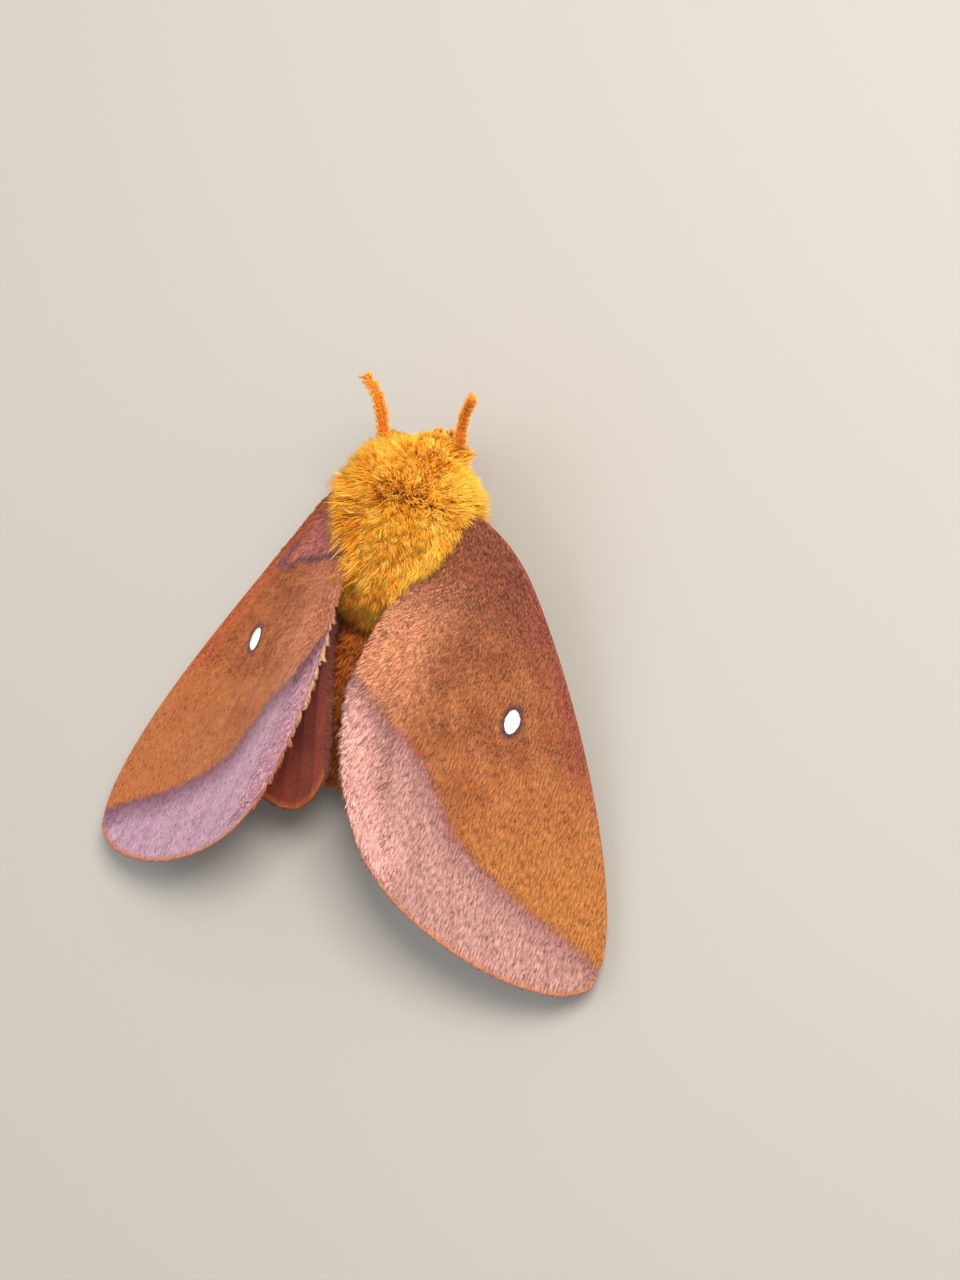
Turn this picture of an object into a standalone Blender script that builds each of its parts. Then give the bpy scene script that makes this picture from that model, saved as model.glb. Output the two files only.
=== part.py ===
# A female pink-striped oakworm moth at rest, life size, with its wings folded like a roof.
# Every named part of the body is one closed solid, and neighbours keep a gap of GAP.
# Lengths are in millimetres while the parts are made, with the head towards +Y and the
# floor at Z = 0. At the end the meshes are scaled to metres and the box is centred.

import math
import random

import bmesh
import bpy
import numpy as np
from mathutils import Matrix, Vector
from mathutils.bvhtree import BVHTree

# Driving sizes

MM = 0.001
GAP = 0.3
SEED = 11

FOREWING_LENGTH = 28.8
WING_THICKNESS = 0.5
WING_CHORD = 14.0
VEIN_HEIGHT = 0.2
VEIN_HALF_WIDTH = 0.35

THORAX_CENTRE = Vector((-0.05, -0.5, 5.6))
THORAX_RADII = Vector((3.85, 5.4, 3.6))
NECK = Vector((0.0, 3.0, 4.6))
HEAD_YAW = math.radians(8.0)
HEAD_RADII = Vector((2.1, 1.6, 1.8))
EYE_RADIUS = 0.85

THORAX_LOCKS = 150
HEAD_LOCKS = 34


# Scene and mesh helpers

def clear_scene():
    for obj in list(bpy.data.objects):
        bpy.data.objects.remove(obj)


def make_material(name, hex_colour, roughness):
    channels = [int(hex_colour[i:i + 2], 16) / 255 for i in (0, 2, 4)]
    linear = [c / 12.92 if c <= 0.04045 else ((c + 0.055) / 1.055) ** 2.4 for c in channels]
    material = bpy.data.materials.new(name)
    material.use_nodes = True
    shader = material.node_tree.nodes["Principled BSDF"]
    shader.inputs["Base Color"].default_value = (*linear, 1.0)
    shader.inputs["Roughness"].default_value = roughness
    shader.inputs["Metallic"].default_value = 0.0
    return material


def add_object(name, data, collection):
    obj = bpy.data.objects.new(name, data)
    collection.objects.link(obj)
    return obj


def object_from_bmesh(name, shape, collection):
    data = bpy.data.meshes.new(name)
    shape.to_mesh(data)
    shape.free()
    return add_object(name, data, collection)


def applied_mesh(obj):
    """The mesh that the object's modifiers give, with its own modifiers then removed."""
    bpy.context.view_layer.update()
    graph = bpy.context.evaluated_depsgraph_get()
    data = bpy.data.meshes.new_from_object(obj.evaluated_get(graph))
    obj.modifiers.clear()
    return data


def keep_largest(data):
    """Deletes every loose closed surface but the largest, by volume of its box."""
    shape = bmesh.new()
    shape.from_mesh(data)
    left = set(shape.verts)
    islands = []
    while left:
        stack = [left.pop()]
        island = set(stack)
        while stack:
            for edge in stack.pop().link_edges:
                for vert in edge.verts:
                    if vert in left:
                        left.remove(vert)
                        island.add(vert)
                        stack.append(vert)
        islands.append(island)
    islands.sort(key=box_volume, reverse=True)
    loose = [vert for island in islands[1:] for vert in island]
    bmesh.ops.delete(shape, geom=loose, context="VERTS")
    shape.to_mesh(data)
    shape.free()


def box_volume(verts):
    points = np.array([vert.co for vert in verts])
    return float(np.prod(np.ptp(points, axis=0)))


def boolean(base, others, operation):
    """Joins or cuts base with a list of closed mesh objects, which are then removed."""
    group = bpy.data.collections.new("operands")
    bpy.context.scene.collection.children.link(group)
    for other in others:
        for owner in list(other.users_collection):
            owner.objects.unlink(other)
        group.objects.link(other)
    modifier = base.modifiers.new(operation.title(), "BOOLEAN")
    modifier.operation = operation
    modifier.operand_type = "COLLECTION"
    modifier.collection = group
    modifier.solver = "MANIFOLD"
    base.data = applied_mesh(base)
    for other in others:
        bpy.data.objects.remove(other)
    bpy.data.collections.remove(group)
    keep_largest(base.data)


def ellipsoid(name, collection, centre, radii, segments, rings, turn=None):
    shape = bmesh.new()
    bmesh.ops.create_uvsphere(shape, u_segments=segments, v_segments=rings, radius=1.0)
    placing = Matrix.Translation(centre) @ (turn or Matrix.Identity(4))
    bmesh.ops.transform(
        shape, matrix=placing @ Matrix.Diagonal((*radii, 1.0)), verts=shape.verts
    )
    return object_from_bmesh(name, shape, collection)


def tube(name, collection, points, radii, bevel_resolution, grow=0.0):
    """A closed tapered tube along the points, as a mesh, with its ends lengthened by grow."""
    path = [Vector(p) for p in points]
    if grow:
        path[0] = path[0] + (path[0] - path[1]).normalized() * grow
        path[-1] = path[-1] + (path[-1] - path[-2]).normalized() * grow
    curve = bpy.data.curves.new(name, "CURVE")
    curve.dimensions = "3D"
    curve.bevel_depth = 1.0
    curve.bevel_resolution = bevel_resolution
    curve.use_fill_caps = True
    spline = curve.splines.new("POLY")
    spline.points.add(len(path) - 1)
    for point, place, radius in zip(spline.points, path, radii):
        point.co = (*place, 1.0)
        point.radius = radius + grow
    guide = add_object(name + "_path", curve, collection)
    data = applied_mesh(guide)
    shape = bmesh.new()
    shape.from_mesh(data)
    bmesh.ops.remove_doubles(shape, verts=shape.verts, dist=1e-4)
    bpy.data.objects.remove(guide)
    return object_from_bmesh(name, shape, collection)


def smooth_path(points, count):
    """count points along the Catmull-Rom curve through the given points."""
    control = [Vector(p) for p in points]
    control = [2 * control[0] - control[1], *control, 2 * control[-1] - control[-2]]
    spans = len(control) - 3
    path = []
    for i in range(count):
        at = spans * i / (count - 1)
        k = min(int(at), spans - 1)
        t = at - k
        a, b, c, d = control[k:k + 4]
        path.append(0.5 * (
            2 * b + (c - a) * t + (2 * a - 5 * b + 4 * c - d) * t ** 2
            + (3 * b - a - 3 * c + d) * t ** 3
        ))
    return path


# Locks of the coat: flat, tapered blades that bend along the lie of the coat

LOCK_SINK = 0.45
LOCK_THICKNESS = 0.5
LOCK_TIP = 0.12


def lock(name, collection, root, outward, lie, length, width):
    """A blade that leaves the surface outward and bends over to the direction lie."""
    across = outward.cross(lie).normalized()
    stations = ((0.0, 0.85, 0.0), (0.4, 1.0, 0.25), (0.75, 0.62, 0.8), (1.0, 0.0, 1.35))
    shape = bmesh.new()
    rings = []
    reach = length + LOCK_SINK
    place = root - outward * LOCK_SINK
    last = 0.0
    for along, breadth, bend in stations:
        heading = (outward * math.cos(bend) + lie * math.sin(bend)).normalized()
        place = place + heading * reach * (along - last)
        last = along
        flat = heading.cross(across)
        if breadth == 0.0:
            rings.append([shape.verts.new(place)])
            continue
        half_width = across * width * breadth / 2
        half_thickness = flat * LOCK_THICKNESS * max(breadth, LOCK_TIP) / 2
        corners = (half_width, half_thickness, -half_width, -half_thickness)
        rings.append([shape.verts.new(place + corner) for corner in corners])
    shape.faces.new(rings[0])
    for low, high in zip(rings, rings[1:]):
        for i in range(4):
            j = (i + 1) % 4
            top = [high[j], high[i]] if len(high) > 1 else [high[0]]
            shape.faces.new([low[i], low[j], *top])
    bmesh.ops.recalc_face_normals(shape, faces=shape.faces)
    bmesh.ops.triangulate(shape, faces=shape.faces)
    return object_from_bmesh(name, shape, collection)


def spread_directions(count):
    """count unit vectors spread evenly over the sphere in a golden spiral."""
    golden = math.pi * (3 - math.sqrt(5))
    for i in range(count):
        height = 1 - 2 * (i + 0.5) / count
        ring = math.sqrt(1 - height * height)
        yield Vector((ring * math.cos(golden * i), ring * math.sin(golden * i), height))


def coat(collection, centre, radii, count, wanted, length_of, lie_of, width, chance):
    """Locks spread evenly over an ellipsoid, wherever wanted(direction) says so."""
    locks = []
    for direction in spread_directions(count):
        if not wanted(direction):
            continue
        root = centre + direction * radii
        normal = Vector([d / r for d, r in zip(direction, radii)]).normalized()
        lie = lie_of(direction)
        lie = (lie - normal * lie.dot(normal)).normalized()
        side = normal.cross(lie)
        lie = (lie + side * chance.uniform(-0.35, 0.35)).normalized()
        outward = (normal + lie * 0.35).normalized()
        length = length_of(direction) * chance.uniform(0.85, 1.12)
        locks.append(lock("lock", collection, root, outward, lie, length, width * chance.uniform(0.9, 1.15)))
    return locks


# Wings: a flat outline of three Bezier edges, bent over the body by its pose

def bezier(points, t):
    a, b, c, d = [np.array(p, float) for p in points]
    t = np.asarray(t, float)[..., None]
    return (1 - t) ** 3 * a + 3 * (1 - t) ** 2 * t * b + 3 * (1 - t) * t ** 2 * c + t ** 3 * d


def outline_patch(outline, p, q):
    """The flat wing: p runs from root to outer margin, q from front edge to inner margin."""
    front, inner, outer = outline
    root_front, root_inner = np.array(front[0]), np.array(inner[0])
    apex, angle = np.array(front[3]), np.array(inner[3])
    along, across = p[..., None], q[..., None]
    sides = (1 - across) * bezier(front, p) + across * bezier(inner, p)
    ends = (1 - along) * (root_front * (1 - across) + root_inner * across)
    ends = ends + along * bezier(outer, q)
    corners = (1 - along) * ((1 - across) * root_front + across * root_inner)
    corners = corners + along * ((1 - across) * apex + across * angle)
    return sides + ends - corners


def ease(x):
    x = np.clip(x, 0.0, 1.0)
    return x * x * (3 - 2 * x)


# The forewing's outline: distance from the base along the wing, then across it
FORE_APEX = (FOREWING_LENGTH, 0.0)
FORE_ANGLE = (19.4, 13.05)
FORE_OUTLINE = (
    ((-1.0, 1.6), (4.1, -1.8), (24.3, -3.6), FORE_APEX),
    ((-0.2, 4.2), (4.9, 9.5), (9.0, 15.2), FORE_ANGLE),
    (FORE_APEX, (31.4, 3.0), (24.5, 11.6), FORE_ANGLE),
)

# The hindwings' outlines, seen from above
HIND_OUTLINE = {
    "right": (
        ((3.0, -1.7), (8.0, -3.0), (11.2, -9.0), (10.6, -14.0)),
        ((2.6, -4.2), (2.9, -8.4), (1.0, -11.0), (1.4, -17.0)),
        ((10.6, -14.0), (9.8, -18.4), (3.6, -21.8), (1.4, -17.0)),
    ),
    "left": (
        ((-3.0, -1.7), (-7.0, -3.4), (-9.4, -9.0), (-8.4, -15.0)),
        ((-2.4, -4.2), (-2.6, -8.4), (-0.6, -10.8), (-0.2, -17.0)),
        ((-8.4, -15.0), (-7.6, -20.2), (-0.8, -22.2), (-0.2, -17.0)),
    ),
}

# How each forewing is held: base from above, sweep and slopes in degrees, heights
FORE_POSE = {
    "right": {
        "side": 1.0, "base": (7.2, 1.8), "sweep": 26.75, "root_height": 5.45,
        "apex_height": 1.6, "base_slopes": (37.5, -1.9), "tip_slopes": (33.8, 4.4), "lift": 0.0,
    },
    "left": {
        "side": -1.0, "base": (7.0, 2.0), "sweep": 18.0, "root_height": 1.7,
        "apex_height": 1.8, "base_slopes": (41.7, 56.3), "tip_slopes": (16.2, 33.7), "lift": 4.2,
    },
}
FORE_ROOT = {
    "left": (np.array((3.8, 1.7, 5.9)), np.array((2.3, 0.5, 7.8))),
    "right": (np.array((3.3, 1.7, 6.1)), np.array((2.8, -0.6, 7.3))),
}
HIND_ROOT = {
    "left": (np.array((3.5, -2.3, 4.8)), np.array((2.2, -4.0, 6.0))),
    "right": (np.array((3.0, -1.9, 5.3)), np.array((2.6, -4.4, 5.4))),
}
ROOT_BLEND = 0.2
LIFT_REACH = 14.0
LIFT_DIRECTION = np.array((0.353, 0.0, 0.936))
HIND_BELOW = 1.2
ABDOMEN_COVER = 0.95


def fore_frame(pose):
    sweep = math.radians(pose["sweep"])
    side = pose["side"]
    back = np.array((side * math.sin(sweep), -math.cos(sweep)))
    inward = np.array((-side * math.cos(sweep), -math.sin(sweep)))
    base = np.array((side * pose["base"][0], pose["base"][1]))
    drop = math.asin((pose["root_height"] - pose["apex_height"]) / FOREWING_LENGTH)
    return base, back, inward, drop


def fore_slopes(pose, along):
    """Slope at the front edge, and its change for each millimetre across, in radians."""
    share = np.clip(along / FOREWING_LENGTH, 0.0, 1.0)
    edge, inner = [
        np.radians(near + (far - near) * share)
        for near, far in zip(pose["base_slopes"], pose["tip_slopes"])
    ]
    change = (inner - edge) / WING_CHORD
    return edge, np.where(np.abs(change) < 1e-4, 1e-4, change)


def fore_surface(pose, flat):
    """Bends the flat wing over the body, and gives it as points in space."""
    base, back, inward, drop = fore_frame(pose)
    along, across = flat[..., 0], flat[..., 1]
    edge, change = fore_slopes(pose, along)
    slope = edge + change * across
    reach = (np.sin(slope) - np.sin(edge)) / change
    rise = (np.cos(edge) - np.cos(slope)) / change
    level = base + back * (along * math.cos(drop))[..., None] + inward * reach[..., None]
    height = pose["root_height"] - along * math.sin(drop) + rise
    points = np.concatenate([level, height[..., None]], -1)
    lift = pose["lift"] * np.clip(1 - along / LIFT_REACH, 0.0, None) ** 2
    return points + lift[..., None] * LIFT_DIRECTION


def abdomen_top(y):
    """Height of the abdomen's back above the floor."""
    return np.interp(-y, (4.0, 8.0, 12.0, 15.0, 18.0, 22.0), (6.4, 6.6, 6.1, 5.1, 3.3, 3.0))


def blend_root(points, p, root, side):
    """Draws the wing's base in to its hinge on the thorax."""
    q = np.linspace(0, 1, points.shape[1])[None, :, None]
    hinge = (root[0] * (1 - q) + root[1] * q) * np.array((side, 1.0, 1.0))
    share = 1 - (1 - np.clip(p / ROOT_BLEND, 0.0, 1.0))[..., None] ** 2
    return hinge * (1 - share) + points * share


def forewing_points(name, p, q):
    pose = FORE_POSE[name]
    points = fore_surface(pose, outline_patch(FORE_OUTLINE, p, q))
    return blend_root(points, p, FORE_ROOT[name], pose["side"])


def forewing_roof(name):
    """The forewing as triangles in space, and a tree of the same triangles laid flat."""
    p, q = np.meshgrid(np.linspace(0, 1, 30), np.linspace(0, 1, 16), indexing="ij")
    grid = forewing_points(name, p, q)
    points = [Vector(point) for point in grid.reshape(-1, 3)]
    faces = []
    for i in range(29):
        for j in range(15):
            a = 16 * i + j
            faces += [(a, a + 16, a + 1), (a + 1, a + 16, a + 17)]
    flat = [Vector((point.x, point.y, 0.0)) for point in points]
    return points, faces, BVHTree.FromPolygons(flat, faces)


def below_roof(roof, x, y):
    """Height that clears the forewing's underside over a point of the floor."""
    points, faces, tree = roof
    place, _, index, _ = tree.find_nearest(Vector((x, y, 0.0)))
    a, b, c = [points[corner] for corner in faces[index]]
    normal = (b - a).cross(c - a).normalized()
    normal = normal if normal.z > 0 else -normal
    height = a.z - (normal.x * (place.x - a.x) + normal.y * (place.y - a.y)) / normal.z
    return height - HIND_BELOW / max(normal.z, 0.6)


def smoothed(grid, rounds):
    """The grid with each value drawn towards its four neighbours, again and again."""
    for _ in range(rounds):
        wide = np.pad(grid, [(1, 1), (1, 1)] + [(0, 0)] * (grid.ndim - 2), mode="edge")
        around = wide[:-2, 1:-1] + wide[2:, 1:-1] + wide[1:-1, :-2] + wide[1:-1, 2:]
        grid = 0.5 * grid + 0.125 * around
    return grid


def hindwing_heights(name):
    """Heights on an even grid: under the forewing, and draped over the abdomen's flank."""
    p, q = np.meshgrid(np.linspace(0, 1, 29), np.linspace(0, 1, 21), indexing="ij")
    level = outline_patch(HIND_OUTLINE[name], p, q)
    roof = forewing_roof(name)
    under = np.array([below_roof(roof, x, y) for x, y in level.reshape(-1, 2)]).reshape(p.shape)
    out = np.abs(level[..., 0])
    sag = 0.12 * out ** 2 - 0.5 * np.clip(out - 3.0, 0.0, None) ** 2
    over = abdomen_top(level[..., 1]) + ABDOMEN_COVER - sag
    return smoothed(np.minimum(over, under), 24)


def hindwing_points(name, p, q):
    heights = hindwing_heights(name)
    row = np.clip(p * 28, 0, 27.999)
    column = np.clip(q * 20, 0, 19.999)
    i, j = row.astype(int), column.astype(int)
    u, v = row - i, column - j
    height = (1 - u) * ((1 - v) * heights[i, j] + v * heights[i, j + 1])
    height = height + u * ((1 - v) * heights[i + 1, j] + v * heights[i + 1, j + 1])
    level = outline_patch(HIND_OUTLINE[name], p, q)
    points = np.concatenate([level, height[..., None]], -1)
    return blend_root(points, p, HIND_ROOT[name], FORE_POSE[name]["side"])


# Veins as (place across the wing, where along it the vein starts)
FORE_VEINS = (
    (0.10, 0.0), (0.22, 0.0), (0.34, 0.46), (0.45, 0.46), (0.56, 0.46),
    (0.67, 0.40), (0.78, 0.0), (0.91, 0.0),
)
HIND_VEINS = ((0.14, 0.0), (0.30, 0.0), (0.44, 0.45), (0.58, 0.45), (0.72, 0.0), (0.87, 0.0))
CELL_END = 0.46


def wing_grid(veins, rows, chord):
    """Rows of p, columns of q with three lines on each vein, and the veins' heights."""
    half = VEIN_HALF_WIDTH / chord
    columns = [0.0]
    starts = [None]
    for place, start in veins:
        columns += [place - half, place, place + half]
        starts += [None, start, None]
    columns.append(1.0)
    starts.append(None)
    p, q = np.meshgrid(np.linspace(0, 1, rows), np.array(columns), indexing="ij")
    height = np.zeros_like(p)
    for column, start in enumerate(starts):
        if start is not None:
            grown = ease((p[:, column] - start) / 0.08 + 0.5) if start else 1.0
            height[:, column] = VEIN_HEIGHT * grown * (1 - 0.5 * p[:, column])
    cell = (q > veins[1][0]) & (q < veins[-2][0])
    row = int(round(CELL_END * (rows - 1)))
    height[row] = np.maximum(height[row], np.where(cell[row], VEIN_HEIGHT * 0.7, 0.0))
    return p, q, height


def unit(vectors):
    return vectors / (np.linalg.norm(vectors, axis=-1, keepdims=True) + 1e-12)


def surface_normals(points):
    """Upward normals of a grid of points, evened out where the grid is pinched."""
    normal = unit(np.cross(np.gradient(points, axis=0), np.gradient(points, axis=1)))
    normal = normal if normal[..., 2].mean() > 0 else -normal
    return unit(smoothed(normal, 3))


def widened(points, margin):
    """The grid of points with one more line all round, a margin further out."""
    def beyond(edge, before):
        return edge + margin * unit(edge - before)
    points = np.concatenate([
        beyond(points[:1], points[1:2]), points, beyond(points[-1:], points[-2:-1])
    ])
    first = beyond(points[:, :1], points[:, 1:2])
    last = beyond(points[:, -1:], points[:, -2:-1])
    return np.concatenate([first, points, last], axis=1)


def sheet(name, collection, points, height, above, below):
    """A closed sheet that follows a grid of points and its veins' heights, alike on both faces."""
    rows, columns = points.shape[:2]
    normals = surface_normals(points)
    shape = bmesh.new()
    layers = []
    for offset in (above, -below):
        layer = points + normals * (np.asarray(height)[..., None] + offset)
        layers.append([[shape.verts.new(layer[i, j]) for j in range(columns)] for i in range(rows)])
    for layer in layers:
        for i in range(rows - 1):
            for j in range(columns - 1):
                a, b = layer[i][j], layer[i + 1][j]
                c, d = layer[i + 1][j + 1], layer[i][j + 1]
                corners = ((a, b, c), (a, c, d)) if j % 2 else ((a, b, d), (b, c, d))
                for corner in corners:
                    shape.faces.new(corner)
    rim = [(0, j) for j in range(columns)]
    rim += [(i, columns - 1) for i in range(1, rows)]
    rim += [(rows - 1, j) for j in range(columns - 2, -1, -1)]
    rim += [(i, 0) for i in range(rows - 2, 0, -1)]
    top, bottom = layers
    for (i, j), (m, n) in zip(rim, rim[1:] + rim[:1]):
        shape.faces.new((top[i][j], top[m][n], bottom[i][j]))
        shape.faces.new((top[m][n], bottom[m][n], bottom[i][j]))
    bmesh.ops.recalc_face_normals(shape, faces=shape.faces)
    return object_from_bmesh(name, shape, collection)


def wing(name, collection, place, side_name, veins, rows, chord):
    """The wing's solid, and the larger sheet that cuts its socket in the thorax."""
    p, q, height = wing_grid(veins, rows, chord)
    height = height * ease(p / 0.12)
    points = place(side_name, p, q)
    solid = sheet(name, collection, points, height, 0.0, WING_THICKNESS)
    few = [0, *range(2, p.shape[1] - 1, 3), p.shape[1] - 1]
    near = widened(points[1:max(4, int(0.55 * rows)), few], GAP + 0.1)
    room = sheet(name + "_room", collection, near, 0.0, VEIN_HEIGHT + GAP, WING_THICKNESS + GAP)
    hinge = sheet(name + "_hinge", collection, points[:4], height[:4], 0.0, WING_THICKNESS)
    pocket = hull_room(hinge, collection, GAP + 0.06)
    bpy.data.objects.remove(hinge)
    return solid, [room, pocket]


# Head: a rounded capsule with eye sockets, palps and a short coat

def head_point(x, y, z):
    """A point of the head, given forward of the neck, with the head turned."""
    turned = Matrix.Rotation(HEAD_YAW, 4, "Z") @ Vector((x, y, 0.0))
    return Vector((NECK.x + turned.x, NECK.y + turned.y, z))


HEAD_CENTRE = head_point(0.0, 1.1, 4.2)
EYE_OUT = 1.35
EYE_FORWARD = 1.35
EYE_HEIGHT = 3.95
ANTENNA_PATHS = {
    -1: ((0.95, 1.5, 5.2), (2.0, 1.7, 5.75), (2.76, 2.25, 6.4), (2.86, 3.3, 7.2), (3.05, 4.35, 7.95), (3.72, 5.4, 8.7)),
    1: ((0.9, 1.5, 5.2), (1.85, 1.65, 5.75), (2.48, 2.15, 6.4), (2.66, 3.05, 7.1), (2.98, 3.95, 7.75), (3.5, 4.8, 8.4)),
}
ANTENNA_RADIUS = 0.36
ANTENNA_RINGS = 27


def eye(name, collection, side, grow=0.0):
    centre = head_point(side * EYE_OUT, EYE_FORWARD, EYE_HEIGHT)
    radius = EYE_RADIUS + grow
    return ellipsoid(name, collection, centre, (radius * 0.9, radius, radius), 18, 12)


def antenna(name, collection, side, grow=0.0):
    """A feeler of short segments, each a little wider at its far end."""
    guide = [head_point(side * x, y, z) for x, y, z in ANTENNA_PATHS[side]]
    count = 6 if grow else ANTENNA_RINGS
    path = smooth_path(guide, count)
    radii = []
    for i in range(count):
        share = i / (count - 1)
        swell = 1.0 if i % 2 else 0.84
        radii.append(ANTENNA_RADIUS * (1.05 - 0.35 * share ** 2) * (1.0 if grow else swell))
    return tube(name, collection, path, radii, 1, grow)


def head(collection):
    turn = Matrix.Rotation(HEAD_YAW, 4, "Z")
    skull = ellipsoid("head", collection, HEAD_CENTRE, HEAD_RADII, 26, 16, turn)
    pieces = []
    for side in (-1, 1):
        path = [head_point(side * 0.45, y, z) for y, z in ((2.0, 3.3), (2.75, 2.9), (3.15, 2.95), (3.35, 3.15))]
        pieces.append(tube("palp", collection, path, (0.42, 0.42, 0.36, 0.2), 1))

    def wanted(direction):
        above = direction.z > -0.35 and direction.y > -0.25
        return above and abs(direction.x) < 0.82

    def lie_of(direction):
        return Vector((direction.x * 0.8, 0.35, -0.7 if direction.y > 0.6 else 0.5))

    chance = random.Random(SEED + 1)
    pieces += coat(
        collection, HEAD_CENTRE, HEAD_RADII * 0.98, 3 * HEAD_LOCKS, wanted,
        lambda direction: 0.75, lie_of, 0.85, chance,
    )
    boolean(skull, pieces, "UNION")
    rooms = [eye("room", collection, side, GAP + 0.03) for side in (-1, 1)]
    rooms += [antenna("room", collection, side, GAP + 0.06) for side in (-1, 1)]
    rooms += [leg("room", collection, "fore", side, GAP + 0.16) for side in (-1, 1)]
    boolean(skull, rooms, "DIFFERENCE")
    return skull


def hull_room(obj, collection, margin):
    """A convex body round the object, larger by a margin, which keeps others clear of it."""
    shape = bmesh.new()
    for vert in obj.data.vertices:
        shape.verts.new(vert.co)
    hull = bmesh.ops.convex_hull(shape, input=shape.verts)
    spare = [v for v in hull["geom_interior"] + hull["geom_unused"] if isinstance(v, bmesh.types.BMVert)]
    bmesh.ops.delete(shape, geom=list(set(spare)), context="VERTS")
    bmesh.ops.recalc_face_normals(shape, faces=shape.faces)
    shape.normal_update()
    moves = [(vert, vert.normal * margin) for vert in shape.verts]
    for vert, move in moves:
        vert.co += move
    return object_from_bmesh("room", shape, collection)


# Abdomen: seven rings with grooves between them, tapering to the tip

ABDOMEN_START = Vector((0.0, -3.6, 4.2))
ABDOMEN_END = Vector((0.0, -17.2, 2.1))
ABDOMEN_SEGMENTS = 7
ABDOMEN_WIDTH = 2.75
GROOVE = 0.14


def abdomen(name, collection, grow=0.0):
    path, radii = [], []
    steps = ABDOMEN_SEGMENTS * 3
    for i in range(steps + 1):
        share = i / steps
        place = ABDOMEN_START.lerp(ABDOMEN_END, share)
        place.z += 0.35 * math.sin(math.pi * share)
        body = math.sin(math.pi * (0.27 + 0.66 * share)) ** 0.75
        groove = 0.0 if i % 3 else GROOVE
        path.append(place)
        radii.append(ABDOMEN_WIDTH * body - (0.0 if grow else groove))
    path.append(path[-1] + Vector((0.0, -0.5, -0.1)))
    radii.append(radii[-1] * 0.55)
    return tube(name, collection, path, radii, 6, grow)


# Legs: coxa, femur, tibia and a tarsus that lies flat on the floor

TARSUS_RADIUS = 0.3
SOLE = 0.24
LEG_PATHS = {
    "fore": ((1.25, 2.0, 3.1), (1.6, 2.6, 2.1), (2.7, 1.8, 2.3), (2.35, 2.7, 0.9), (2.1, 3.1, SOLE), (1.3, 4.0, SOLE), (0.95, 4.4, SOLE)),
    "middle": ((1.5, 0.0, 2.8), (2.2, 0.1, 2.0), (4.3, 0.7, 3.0), (5.3, 0.0, 0.95), (5.7, -0.4, SOLE), (6.6, -1.7, SOLE), (6.9, -2.3, SOLE)),
    "hind": ((1.35, -2.3, 2.8), (2.1, -3.0, 2.0), (4.0, -4.7, 2.3), (4.9, -8.7, 0.9), (5.2, -9.5, SOLE), (5.4, -12.4, SOLE), (5.4, -13.2, SOLE)),
}
LEG_RADII = (0.55, 0.5, 0.42, 0.34, TARSUS_RADIUS, 0.28, 0.24)


def leg(name, collection, kind, side, grow=0.0):
    path = [Vector((side * x, y, z)) for x, y, z in LEG_PATHS[kind]]
    limb = tube(name, collection, path, LEG_RADII, 2, grow)
    if not grow:
        for vert in limb.data.vertices:
            vert.co.z = max(vert.co.z, 0.0)
    return limb


# Thorax: the core, its shaggy coat, and the sockets of all that grows from it

def thorax(collection):
    core = ellipsoid("thorax", collection, THORAX_CENTRE, THORAX_RADII, 28, 18)

    def wanted(direction):
        under = direction.z < -0.55
        neck = direction.y > 0.72 and direction.z < 0.25
        waist = direction.y < -0.72 and direction.z < 0.1
        return not (under or neck or waist)

    def length_of(direction):
        collar = 0.4 * ease((abs(direction.x) - 0.3) / 0.4) * ease(direction.y / 0.5)
        return 1.5 + collar + 0.6 * ease(0.5 - 0.9 * direction.y) - 0.35 * max(0.0, -direction.z)

    def lie_of(direction):
        front = ease((direction.y - 0.1) / 0.6)
        backward = Vector((0.35 * direction.x, -1.0, -0.15))
        upright = Vector((direction.x, 0.35, 0.8))
        return backward * (1 - front) + upright * front

    chance = random.Random(SEED)
    pieces = coat(
        collection, THORAX_CENTRE, THORAX_RADII, THORAX_LOCKS, wanted, length_of,
        lie_of, 1.55, chance,
    )
    boolean(core, pieces, "UNION")
    return core


# Assembly

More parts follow.
